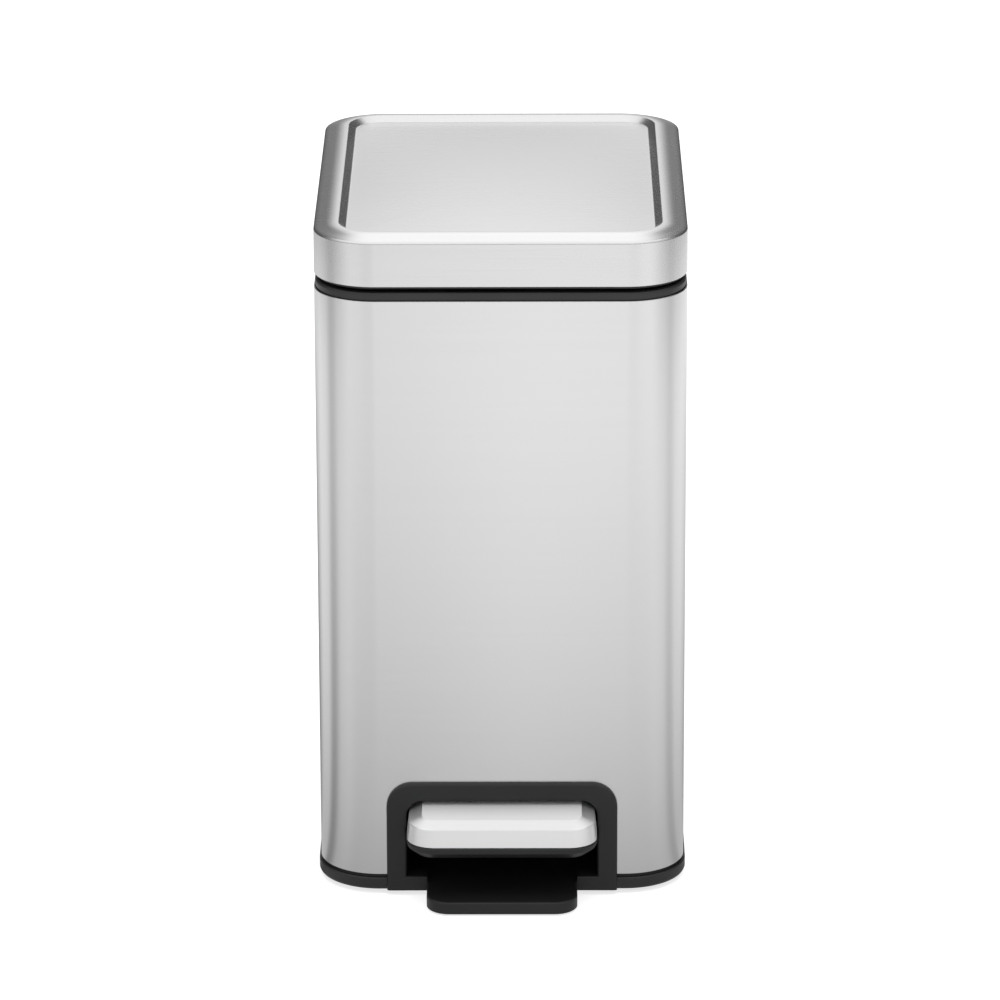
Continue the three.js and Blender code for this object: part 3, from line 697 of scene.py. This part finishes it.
def build_rim():
    """The ring that clips into the tube's mouth. Its inner step carries the bucket's lip."""
    low, top = rim_low.z, rim_high.z
    tube_top = shell_high.z + 0.3
    profile = rounded_path(
        [
            (0.8, tube_top, 1.0),
            (0.8, top, 1.4),
            (6.5, top, 0.8),
            (6.5, SEAT_Z, 0.4),
            (11, SEAT_Z, 0.6),
            (11, SEAT_Z - 2.5, 0.4),
            (3.4, SEAT_Z - 2.5, 0.5),
            (3.4, low, 0.5),
            (1.2, low, 0.5),
            (1.2, tube_top),
        ],
        closed=True,
        steps=4,
    )
    rim = swept("rim_ring", profile, BODY, closed=True, steps=24)
    shelf = block("rear_shelf", (-70, 70), (REAR - 29, REAR - 8), (SEAT_Z - 2.5, SEAT_Z - 0.02))
    combined(rim, shelf, operation="UNION")
    way = block("arm_way", (-16, 16), (REAR - 25, REAR - 1.8), (low - 5, top + 5))
    combined(rim, way)
    return dressed(rim, "bin", rim_abs, "grey_rim_plastic", "top_rim")


def build_bucket():
    """Lift-out bucket: tapered walls, a rolled lip, a foot ring under the floor and two hand slots."""
    half_w, half_d = bucket_high.x, (bucket_high.y - bucket_low.y) / 2
    centre_y = (bucket_high.y + bucket_low.y) / 2
    low, top = bucket_low.z, bucket_high.z
    lip = top - 2.3
    profile = rounded_path(
        [
            (80, low + 0.8),
            (26, low + 0.8, 1),
            (24, low, 0.8),
            (14, low, 2.5),
            (10, low + 4, 4),
            (5.5, lip, 0.8),
            (0, lip, 0.6),
            (0, top, 1.0),
            (7.3, top, 1.4),
            (11.8, low + 6, 5),
            (16, low + 2, 3),
            (80, low + 2),
        ],
        steps=5,
    )
    bucket = swept("bucket_shell", profile, (half_w, half_d, 29.5, centre_y), steps=20)
    grip_z = SEAT_Z - 16.5
    slot = []
    for cy, start in ((centre_y + 31, -math.pi / 2), (centre_y - 31, math.pi / 2)):
        for i in range(13):
            a = start + i / 12 * math.pi
            slot.append((cy + 7 * math.cos(a), grip_z + 7 * math.sin(a)))
    combined(bucket, slab("grips", slot, sideways, -110, 110))
    return dressed(bucket, "bin", bucket_pp, "bucket_plastic", "inner_bucket")


# ---- base

def build_base():
    """The base moulding: a skirt that stands a millimetre proud of the tube, with a small ledge, and a
    plate with a raised rim inside the tube."""
    ledge = 9.6
    ground = base_low.z
    profile = rounded_path(
        [
            (75, ground + 0.7),
            (12, ground + 0.7, 0.2),
            (11, ground, 0.2),
            (-0.2, ground, 0.6),
            (-1, ground + 1.4, 1),
            (-1, ledge, 0.7),
            (1.2, ledge, 0.3),
            (1.2, base_high.z, 0.5),
            (3.8, base_high.z, 0.6),
            (3.8, 6, 1),
            (75, 6),
        ],
        steps=4,
    )
    base = swept("base_moulding", profile, BODY, steps=24)
    side = frame_high.x + 0.05
    mouth = block("mouth", (-side, side), (FRONT - 5, FRONT + 9.4), (0, 40))
    pads = [span(f"foot_{end}_{side}") for end in ("front", "rear") for side in ("left", "right")]
    pockets = []
    for low, high in pads:
        cx, cy = (low.x + high.x) / 2, (low.y + high.y) / 2
        pockets.append(bar("pocket", (cx, cy, 0), (cx, cy, high.z + 0.25), 7.3))
    combined(base, mouth, *pockets)
    return dressed(base, "bin", black_pp, "black_plastic", "base_tray")


def build_feet():
    """Round pads pressed into the base, each with a shallow dish, and one flat pad under the tongue."""
    for end in ("front", "rear"):
        for side in ("left", "right"):
            node = f"foot_{end}_{side}"
            low, high = span(node)
            cx, cy = (low.x + high.x) / 2, (low.y + high.y) / 2
            profile = rounded_path(
                [(0, 0.5), (3.6, 0.5, 0.8), (4.4, 0, 0.3), (7, 0, 0.6), (7, high.z, 0.3), (0, high.z)],
                steps=4,
            )
            pad = turned(f"{node}_pad", profile, Matrix.Translation((cx, cy, 0)))
            dressed(pad, "bin", foot_rubber, "rubber", node)
    strip = refined("foot_tongue", 0.7, 3)
    dressed(strip, "bin", foot_rubber, "rubber", "foot_tongue")


# ---- pedal frame

def arch_ring(name, sections, steps=12):
    """Lofts upright arches into a surround that stands on two feet.

    Each section is (half width, top, radius, foot, depth).
    """
    loops = [
        [(x, y, z) for x, z in arch(half_w, top, radius, foot, steps)]
        for half_w, top, radius, foot, y in sections
    ]
    count = len(loops[0])
    points = [p for loop in loops for p in loop]
    faces = [
        tuple(k * count for k in range(len(loops))),
        tuple(k * count + count - 1 for k in reversed(range(len(loops)))),
    ]
    for k in range(len(loops)):
        a, b = k * count, ((k + 1) % len(loops)) * count
        faces += [(a + i, a + i + 1, b + i + 1, b + i) for i in range(count - 1)]
    mesh = mesh_of(name, points, faces)
    outward(mesh)
    return make_piece(name, mesh)


FACE = FRONT - 2.8  # the surround's front face
SILL_TOP = 11
TONGUE_W, TONGUE_R, TONGUE_TOP = 41.1, 12.5, 8  # the floor tongue's half width, corner radius and height


def build_pedal_frame():
    """The black surround. Its face has a rounded outer edge and an inner edge that rolls into the mouth.
    The sill and the floor tongue are one moulding with it."""
    half_w, top = frame_high.x, frame_high.z
    mouth_w, mouth_top = 52, 55
    body_w, body_top = 56.4, 60.4
    foot = base_low.z
    back = FRONT - 0.3
    sections = []
    outer = [(0, back), (0, FACE + 1.3), (0.35, FACE + 0.5), (1.0, FACE + 0.1), (1.8, FACE)]
    for inset, y in outer:
        sections.append((half_w - inset, top - inset, 14 - inset, foot, y))
    inner = [(1.8, FACE), (1.1, FACE + 0.1), (0.55, FACE + 0.35), (0.2, FACE + 0.8), (0, FACE + 1.6)]
    for grow, y in inner:
        sections.append((mouth_w + grow, mouth_top + grow, 9 + grow, foot, y))
    sections.append((mouth_w, mouth_top, 9, foot, FRONT + 9))
    sections.append((body_w, body_top, 6, foot, FRONT + 9))
    sections.append((body_w, body_top, 6, foot, back))
    surround = arch_ring("pedal_surround", sections)
    hood = arch_ring(
        "hood",
        [
            (body_w, body_top, 6, 6.4, FRONT + 8.5),
            (body_w, body_top, 6, 6.4, FRONT + 24),
            (body_w - 2.4, body_top - 2.4, 4, 6.4, FRONT + 24),
            (body_w - 2.4, body_top - 2.4, 4, 6.4, FRONT + 8.5),
        ],
    )
    sill_shape = rounded_path(
        [
            (FACE - 0.01, foot + 0.03),
            (FRONT + 8.97, foot + 0.03),
            (FRONT + 8.97, SILL_TOP),
            (FACE - 0.01, SILL_TOP, 0.8),
        ],
        closed=True,
        steps=3,
    )
    sill = slab("sill", sill_shape, sideways, -mouth_w - 4.4, mouth_w + 4.4)
    walkway = block(
        "walk", (-TONGUE_W - 0.02, TONGUE_W + 0.02), (FACE - 3, FRONT + 20), (TONGUE_TOP - 0.05, 14)
    )
    combined(sill, walkway)
    tongue = rounded_tongue(frame_low.y, FRONT + 8.5, frame_low.z, TONGUE_TOP)
    combined(surround, hood, sill, tongue, operation="UNION")
    low, high = span("foot_tongue")
    pocket = block("pocket", (low.x - 0.3, high.x + 0.3), (low.y - 0.3, high.y + 0.3), (0, high.z + 0.3))
    combined(surround, pocket)
    return dressed(surround, "bin", frame_pp, "black_plastic", "pedal_frame", angle=math.radians(38))


def rounded_tongue(tip, back, low, top):
    """The flat tongue on the floor, with a soft upper edge."""
    loops = []
    edge = [(0.5, low), (0, low + 0.5), (0, top - 1.1), (0.25, top - 0.5), (0.7, top - 0.12), (1.3, top)]
    for inset, z in edge:
        r = TONGUE_R - inset
        half = TONGUE_W - inset
        loop = [(half, back, z)]
        for cx, start in ((half - r, 0), (r - half, -math.pi / 2)):
            for i in range(13):
                a = start - i / 12 * math.pi / 2
                loop.append((cx + r * math.cos(a), tip + inset + r + r * math.sin(a), z))
        loop.append((-half, back, z))
        loops.append(loop)
    count = len(loops[0])
    points = [p for loop in loops for p in loop]
    faces = [tuple(range(count)), tuple(reversed(range((len(loops) - 1) * count, len(loops) * count)))]
    for k in range(len(loops) - 1):
        for i in range(count):
            j = (i + 1) % count
            faces.append((k * count + i, (k + 1) * count + i, (k + 1) * count + j, k * count + j))
    mesh = mesh_of("tongue", points, faces)
    outward(mesh)
    return make_piece("tongue", mesh)


# ---- pedal

LEVER_SEAT = 36.4  # height of the lever's seat in the carrier
PEDAL_EXTRA = 0.6  # the drawn pedal fills its mouth a little more on each side than its node
PEDAL_CORNER = 15.6


def build_pedal():
    """Black carrier with a stamped steel cap: the cap's top is a flat field with a wide bevel round it, and
    its skirt leans out a little to meet the carrier."""
    half_w, half_d = tray_high.x + PEDAL_EXTRA, (tray_high.y - tray_low.y) / 2
    plan = (half_w, half_d, PEDAL_CORNER, (tray_high.y + tray_low.y) / 2)
    skirt, top = cap_low.z, cap_high.z
    edge = top - 3.1
    inside = tray_high.z
    carrier = rounded_path(
        [
            (20, tray_low.z),
            (6, tray_low.z, 2.5),
            (0.7, tray_low.z + 4.2, 2),
            (0, skirt - 0.9, 0.5),
            (0.5, skirt - 0.3, 0.2),
            (3, skirt - 0.3),
            (3.6, inside),
            (20, inside),
        ],
        steps=4,
    )
    tray = swept("pedal_carrier", carrier, plan, steps=16)
    pocket = block("pocket", (-25, 25), (tray_low.y + 8, tray_high.y + 5), (tray_low.z - 5, LEVER_SEAT + 0.3))
    combined(tray, pocket)
    dressed(tray, "pedal", frame_pp, "black_plastic", "pedal_tray")
    cover = rounded_path(
        [
            (20, top - 1.1),
            (10.4, top - 1.1),
            (2.7, edge - 1.2),
            (1.4, skirt, 0.2),
            (0.3, skirt, 0.3),
            (1.5, edge, 0.7),
            (8.6, top, 0.8),
            (20, top),
        ],
        steps=5,
    )
    cap = swept("pedal_steel_cap", cover, plan, steps=16)
    dressed(cap, "pedal", pedal_steel_painted_lighter, "brushed_steel_skin", "pedal_cap")


# ---- linkage, hinge and fastenings

def build_hinge():
    dressed(refined("hinge_bracket", 0.5, 3), "bin", black_pp, "black_plastic", "hinge_bracket")
    dressed(refined("hinge_leaf", 0.5, 3), "lid", black_pp, "black_plastic", "hinge_leaf")
    low, high = span("hinge_pin")
    length = high.x - low.x
    profile = rounded_path(
        [(0, 0), (2.9, 0, 0.9), (3.4, 2.4, 0.3), (2.0, 2.4), (2.0, length, 0.5), (0, length)],
        steps=4,
    )
    turn = Matrix.Translation((low.x, HINGE_Y, HINGE_Z)) @ Matrix.Rotation(math.pi / 2, 4, "Y")
    pin = turned("hinge_pin_turned", profile, turn, 40)
    dressed(pin, "bin", zinc, "zinc_plated_steel", "hinge_pin")
    dressed(refined("hinge_pin_clip", 0.15), "bin", zinc, "zinc_plated_steel", "hinge_pin_clip")


def build_linkage():
    for node, body, width in (
        ("lift_arm", "lid", 0.35),
        ("pedal_lever", "pedal", 0.4),
        ("rod_clip_low", "rod", 0.15),
        ("rod_clip_top", "rod", 0.15),
        ("axle_clip_left", "bin", 0.15),
        ("axle_clip_right", "bin", 0.15),
    ):
        dressed(refined(node, width), body, zinc, "zinc_plated_steel", node)
    for node, width in (
        ("pivot_block_left", 0.6),
        ("pivot_block_right", 0.6),
        ("rod_guide", 0.6),
        ("damper_clamp", 0.6),
    ):
        dressed(refined(node, width, 3), "bin", black_pp, "black_plastic", node)
    low, high = span("lever_axle")
    axle = bar("lever_axle_turned", (low.x, PIVOT_Y, PIVOT_Z), (high.x, PIVOT_Y, PIVOT_Z), 3)
    dressed(axle, "bin", zinc, "zinc_plated_steel", "lever_axle")
    build_rod()
    for node, body in (("damper_cylinder", "bin"), ("damper_stem", "damper")):
        dressed(refined(node, 0.2), body, zinc, "zinc_plated_steel", node)


def build_rod():
    """The bent wire rod, drawn as one round wire along a curve with bent ends."""
    low, high = span("push_rod")
    radius = 1.8
    x, bend = high.x - radius, 3
    bottom, top = low.z + radius, high.z - radius
    quarter = [i / 8 * math.pi / 2 for i in range(9)]
    path = [(low.x, bottom)]
    path += [(x - bend + bend * math.sin(a), bottom + bend - bend * math.cos(a)) for a in quarter]
    path += [(x - bend + bend * math.cos(a), top - bend + bend * math.sin(a)) for a in quarter]
    path.append((low.x, top))
    curve = bpy.data.curves.new("rod_line", "CURVE")
    curve.dimensions = "3D"
    curve.bevel_depth = radius * MM
    curve.bevel_resolution = 6
    curve.use_fill_caps = True
    line = curve.splines.new("POLY")
    line.points.add(len(path) - 1)
    for point, (px, pz) in zip(line.points, path):
        point.co = (px * MM, ROD_Y * MM, pz * MM, 1)
    wire = bpy.data.objects.new("rod_line", curve)
    bpy.context.scene.collection.objects.link(wire)
    graph = bpy.context.evaluated_depsgraph_get()
    mesh = bpy.data.meshes.new_from_object(wire.evaluated_get(graph))
    bpy.data.objects.remove(wire)
    outward(mesh)
    rod = make_piece("push_rod_wire", mesh)
    dressed(rod, "rod", zinc, "zinc_plated_steel", "push_rod")


HEAD_WIDE, HEAD_TALL = 6.8, 1.8  # a screw's head


def screw_places():
    """The screws on each body: the node, the seat under the head and the way the screw drives."""
    found = {}
    for node, obj in frame["nodes"].items():
        if "screw" not in node:
            continue
        low, high = span(node)
        size = high - low
        axis = max(range(3), key=lambda i: abs(size[i] - HEAD_WIDE))
        if node.startswith("pivot"):
            drive, seat_at = Vector((0, 0, -1)), high.z - HEAD_TALL
        elif axis == 2:
            drive, seat_at = Vector((0, 0, 1)), low.z + HEAD_TALL
        else:
            drive, seat_at = Vector((0, -1, 0)), high.y - HEAD_TALL
        seat = (low + high) / 2
        seat[axis] = seat_at
        found.setdefault(obj["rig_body"], []).append((node, seat, drive))
    return found


def pan_screw():
    """One pan-head screw, head up along Z with its seat at the origin: domed head, cross recess, shank."""
    profile = rounded_path(
        [
            (0, -4.5),
            (0.9, -4.5, 0.3),
            (1.5, -3.6, 0.3),
            (1.5, 0),
            (HEAD_WIDE / 2, 0, 0.15),
            (3.3, 0.7, 0.6),
            (2.4, 1.6, 1.5),
            (0, HEAD_TALL),
        ],
        steps=3,
    )
    head = turned("pan_screw", profile, sides=28)
    slots = []
    for half_x, half_y in ((2.0, 0.42), (0.42, 2.0)):
        slots.append(block("slot", (-half_x, half_x), (-half_y, half_y), (0.9, 3)))
    combined(head, *slots)
    mark_sharp(head.data)
    return head


def screw_tree():
    """Geometry nodes: one screw on every point of the seat mesh, turned the way its point says."""
    tree, sockets = new_tree("screws_on_seats", Seats="Geometry", Screw="Object", Finish="Material")
    given = add_node(tree, "NodeGroupInput").outputs
    info = add_node(tree, "GeometryNodeObjectInfo", {"Object": given["Screw"]})
    way, twist = (
        add_node(tree, "GeometryNodeInputNamedAttribute", {"Name": title}, data_type=kind).outputs["Attribute"]
        for title, kind in (("head_way", "FLOAT_VECTOR"), ("twist", "FLOAT"))
    )
    aim = add_node(tree, "FunctionNodeAlignRotationToVector", {"Vector": way}, axis="Z")
    spin = add_node(tree, "ShaderNodeCombineXYZ", {"Z": twist})
    spun = add_node(tree, "FunctionNodeEulerToRotation", {0: spin})
    both = {"Rotation": aim, "Rotate By": spun}
    stance = add_node(tree, "FunctionNodeRotateRotation", both, rotation_space="LOCAL")
    placed = {"Points": given["Seats"], "Instance": info.outputs["Geometry"], "Rotation": stance}
    finish_tree(tree, add_node(tree, "GeometryNodeInstanceOnPoints", placed))
    return tree, sockets


def build_screws():
    pattern = pan_screw()
    tree, sockets = screw_tree()
    for body, places in screw_places().items():
        seats = bpy.data.meshes.new("seats")
        seats.from_pydata([tuple(seat * MM) for _, seat, _ in places], [], [])
        seats.attributes.new("head_way", "FLOAT_VECTOR", "POINT")
        seats.attributes.new("twist", "FLOAT", "POINT")
        for i, (_, _, drive) in enumerate(places):
            seats.attributes["head_way"].data[i].vector = -drive
            seats.attributes["twist"].data[i].value = 0.4 + 1.1 * i
        screws = grown(f"screws_{body}", seats, tree, sockets, Screw=pattern, Finish=zinc)
        dressed(screws, body, zinc, "zinc_plated_steel", *[node for node, *_ in places])
    bpy.data.objects.remove(pattern)


def build_bumpers():
    for end in ("front", "rear"):
        for side in ("left", "right"):
            node = f"lid_bumper_{end}_{side}"
            low, high = span(node)
            cx, cy = (low.x + high.x) / 2, (low.y + high.y) / 2
            tall = high.z - low.z
            profile = rounded_path([(0, 0), (2, 0, 0.4), (2, tall), (0, tall)], steps=4)
            pad = turned(f"{node}_pad", profile, Matrix.Translation((cx, cy, low.z)), 24)
            dressed(pad, "lid", foot_rubber, "rubber", node)


# ---- studio

CAMERA_BACK = 3.0  # metres in front of the tube
CAMERA_HEIGHT = 1.2372
LENS = 5.9033  # focal length over the sensor's width


def build_camera():
    data = bpy.data.cameras.new("camera")
    camera = bpy.data.objects.new("camera", data)
    bpy.context.scene.collection.objects.link(camera)
    bpy.context.scene.camera = camera
    pitch, yaw, roll = (math.radians(angle) for angle in (18.6, 0.278, -0.17))
    camera.location = (0.014, FRONT * MM - CAMERA_BACK, CAMERA_HEIGHT)
    data.sensor_width = 36
    data.lens = data.sensor_width * LENS
    aim = (
        Matrix.Rotation(yaw, 4, "Z")
        @ Matrix.Rotation(math.pi / 2 - pitch, 4, "X")
        @ Matrix.Rotation(roll, 4, "Z")
    )
    camera.rotation_euler = aim.to_euler()
    data.clip_start, data.clip_end = 0.1, 50


def azimuth(tree, aside, ahead):
    """The angle away from straight ahead, as a fraction of a half turn."""
    angle = add_node(tree, "ShaderNodeMath", {0: aside, 1: ahead}, operation="ARCTAN2")
    return add_node(tree, "ShaderNodeMath", {0: angle, 1: math.pi}, operation="DIVIDE")


WALLS = [(0.0, 1.0), (0.012, 1.0), (0.055, 0.22), (0.12, 0.10), (0.36, 0.12), (0.60, 0.8), (1.0, 0.9)]
CEILING = [(0.78, 1.5), (0.88, 1.2), (0.95, 1.3)]


def build_world():
    """A white room to the camera. What the steel mirrors is softer: a broad bright ceiling, a white sweep
    straight behind, and dark walls on both sides of the sweep. The ceiling starts lower over the sweep."""
    world = bpy.data.worlds.new("studio")
    bpy.context.scene.world = world
    world.use_nodes = True
    tree = world.node_tree
    tree.nodes.clear()
    way = add_node(tree, "ShaderNodeTexCoord").outputs["Generated"]
    x, y, z = add_node(tree, "ShaderNodeSeparateXYZ", {0: way}).outputs
    side = add_node(tree, "ShaderNodeMath", {0: x}, operation="ABSOLUTE")
    turn = azimuth(tree, side, y)
    walls = add_node(tree, "ShaderNodeValToRGB", {"Fac": turn}, WALLS)
    limits = {"From Min": 0.21, "From Max": 0.32, "To Min": 0.58, "To Max": 1.16}
    lift = add_node(tree, "ShaderNodeMapRange", {"Value": z, **limits})
    walls = add_node(tree, "ShaderNodeVectorMath", {0: walls, "Scale": lift}, operation="SCALE")
    sweep = add_node(tree, "ShaderNodeValToRGB", {"Fac": turn}, [(0.01, 0.0), (0.09, 1.0)])
    low = add_node(tree, "ShaderNodeMix", {"Factor": sweep, 2: 0.27, 3: 0.66}, data_type="FLOAT")
    over = add_node(tree, "ShaderNodeMath", {0: z, 1: low}, operation="SUBTRACT")
    height = add_node(
        tree, "ShaderNodeMapRange", {"Value": over, "From Max": 0.2}, interpolation_type="SMOOTHSTEP"
    )
    ceiling = add_node(tree, "ShaderNodeValToRGB", {"Fac": z}, CEILING)
    room = add_node(tree, "ShaderNodeMix", {"Factor": height, 6: walls, 7: ceiling}, data_type="RGBA")
    rays = add_node(tree, "ShaderNodeLightPath")
    seen = add_node(tree, "ShaderNodeBackground", {"Color": [1, 1, 1, 1], "Strength": 1.0})
    mirrored = add_node(tree, "ShaderNodeBackground", {"Color": room.outputs[2], "Strength": 1.0})
    both = {0: rays.outputs["Is Camera Ray"], 1: mirrored, 2: seen}
    surface = add_node(tree, "ShaderNodeMixShader", both)
    add_node(tree, "ShaderNodeOutputWorld", {"Surface": surface})


# Painted shade and painted light that only the steel's reflections see on the floor: greyer close to the bin, a
# dark flag at each side, darker far out to the sides, and a lighter stripe in front.
NEAR_PAINTED_SHADE = [(0.05, 0.44), (0.15, 0.66), (0.25, 0.83), (0.385, 0.95), (0.50, 1.16), (0.62, 1.2), (0.72, 1.06)]
PAINTED_FLAGS = [
    (0.0, 1.0),
    (0.22, 1.0),
    (0.31, 1.12),
    (0.42, 1.07),
    (0.485, 0.58),
    (0.53, 0.58),
    (0.59, 1.22),
    (0.72, 1.25),
    (0.81, 0.7),
    (0.88, 0.35),
    (1.0, 0.35),
]
BEYOND_PAINTED_SHADE = [(0.0, 1.0), (0.05, 0.9), (0.09, 0.88), (0.18, 1.02), (0.27, 1.0), (0.38, 0.5), (0.5, 0.2), (1.0, 0.2)]
PAINTED_STRIPE = [(0.0, 0.96), (0.26, 1.03), (0.5, 1.2), (0.72, 1.11), (1.0, 1.08)]
FLOOR_REACH = 12000


def build_floor():
    """White sweep, evenly white to the camera. The steel's reflections see a painted glow instead: painted
    shade that greys it close to the bin, standing in for the bin's own shade there, a painted lighter stripe in
    front and a painted dark flag on each side."""
    size = FLOOR_REACH
    corners = [(-size, -size, 0), (size, -size, 0), (size, size, 0), (-size, size, 0)]
    mesh = mesh_of("floor", corners, [(0, 1, 2, 3)])
    floor = make_piece("floor", mesh)
    material = bpy.data.materials.new("white_sweep_painted_reflections")
    material.use_nodes = True
    tree = material.node_tree
    tree.nodes.clear()
    place = add_node(tree, "ShaderNodeTexCoord").outputs["Object"]
    x, y, _ = add_node(tree, "ShaderNodeSeparateXYZ", {0: place}).outputs
    far = add_node(tree, "ShaderNodeVectorMath", {0: place}, operation="LENGTH").outputs["Value"]
    half = add_node(tree, "ShaderNodeMath", {0: far, 1: 0.5}, operation="MULTIPLY")
    # Painted shade: the floor greys close to the bin, in the reflections only.
    near = add_node(tree, "ShaderNodeValToRGB", {"Fac": half}, NEAR_PAINTED_SHADE)

    # Angles are measured round the middles of the tube's front corners, from straight in front.
    side = add_node(tree, "ShaderNodeMath", {0: x}, operation="ABSOLUTE")
    past = add_node(tree, "ShaderNodeMath", {0: side, 1: (HALF_W - CORNER) * MM}, operation="SUBTRACT")
    past = add_node(tree, "ShaderNodeMath", {0: past, 1: 0.0}, operation="MAXIMUM")
    ahead = add_node(tree, "ShaderNodeMath", {0: (FRONT + CORNER) * MM, 1: y}, operation="SUBTRACT")
    turn = azimuth(tree, past, ahead)
    painted_flags = add_node(tree, "ShaderNodeValToRGB", {"Fac": turn}, PAINTED_FLAGS)
    beyond_painted_shade = add_node(tree, "ShaderNodeValToRGB", {"Fac": turn}, BEYOND_PAINTED_SHADE)

    # The painted dark flag on each side is strong near the bin and to its left. The painted lighter stripe runs
    # straight forwards.
    reach, left, outer, across = (
        add_node(
            tree,
            "ShaderNodeMapRange",
            {"Value": value, "From Min": start, "From Max": end, "To Min": first, "To Max": last},
        )
        for value, start, end, first, last in (
            (far, 0.3, 1.1, 1.0, 0.42),
            (x, -0.05, 0.05, 1.0, 0.5),
            (far, 1.27, 1.4, 0.0, 1.0),
            (x, -0.13, 0.15, 0.0, 1.0),
        )
    )
    strength = add_node(tree, "ShaderNodeMath", {0: reach, 1: left}, operation="MULTIPLY")
    stripe = add_node(tree, "ShaderNodeValToRGB", {"Fac": across}, PAINTED_STRIPE)
    with_painted_flags, distant_painted_shade = (
        add_node(
            tree, "ShaderNodeMix", {"Factor": amount, 6: near, 7: tone}, data_type="RGBA", blend_type="MULTIPLY"
        ).outputs[2]
        for amount, tone in ((strength, painted_flags), (1.0, beyond_painted_shade))
    )
    shade = add_node(
        tree, "ShaderNodeMix", {"Factor": outer, 6: with_painted_flags, 7: distant_painted_shade}, data_type="RGBA"
    ).outputs[2]
    shade = add_node(
        tree, "ShaderNodeMix", {"Factor": 1.0, 6: shade, 7: stripe}, data_type="RGBA", blend_type="MULTIPLY"
    ).outputs[2]
    # Only glossy rays see this painted glow; the camera sees the plain white floor.
    glow = add_node(tree, "ShaderNodeEmission", {"Color": shade})
    white = add_node(tree, "ShaderNodeBsdfDiffuse", {"Color": [0.5, 0.5, 0.5, 1]})
    lift = add_node(tree, "ShaderNodeEmission", {"Color": [1, 1, 1, 1], "Strength": 0.72})
    bright = add_node(tree, "ShaderNodeAddShader", {0: white, 1: lift})
    rays = add_node(tree, "ShaderNodeLightPath")
    both = {0: rays.outputs["Is Glossy Ray"], 1: bright, 2: glow}
    surface = add_node(tree, "ShaderNodeMixShader", both)
    add_node(tree, "ShaderNodeOutputMaterial", {"Surface": surface})
    mesh.materials.append(material)


def add_softbox(name, place, aim, size, power):
    """A large soft light. The steel doesn't mirror it, because the room's ceiling stands for it there."""
    data = bpy.data.lights.new(name, "AREA")
    data.shape = "RECTANGLE"
    data.size, data.size_y = size
    data.energy = power
    light = bpy.data.objects.new(name, data)
    bpy.context.scene.collection.objects.link(light)
    light.visible_glossy = False
    light.location = place
    light.rotation_euler = (Vector(aim) - Vector(place)).to_track_quat("-Z", "Y").to_euler()


def build_studio():
    build_camera()
    build_world()
    build_floor()
    add_softbox("top_box", (0.0, -0.5, 2.6), (0, 0, 0.1), (2.4, 2.0), 38)
    bpy.context.scene.view_settings.view_transform = "Standard"
    bpy.context.scene.view_settings.look = "None"


build_studio()
build_shell()
build_lid_cap()
build_liner()
build_liner_ribs()
build_rim()
build_bucket()
build_base()
build_feet()
build_pedal_frame()
build_pedal()
build_hinge()
build_linkage()
build_screws()
build_bumpers()
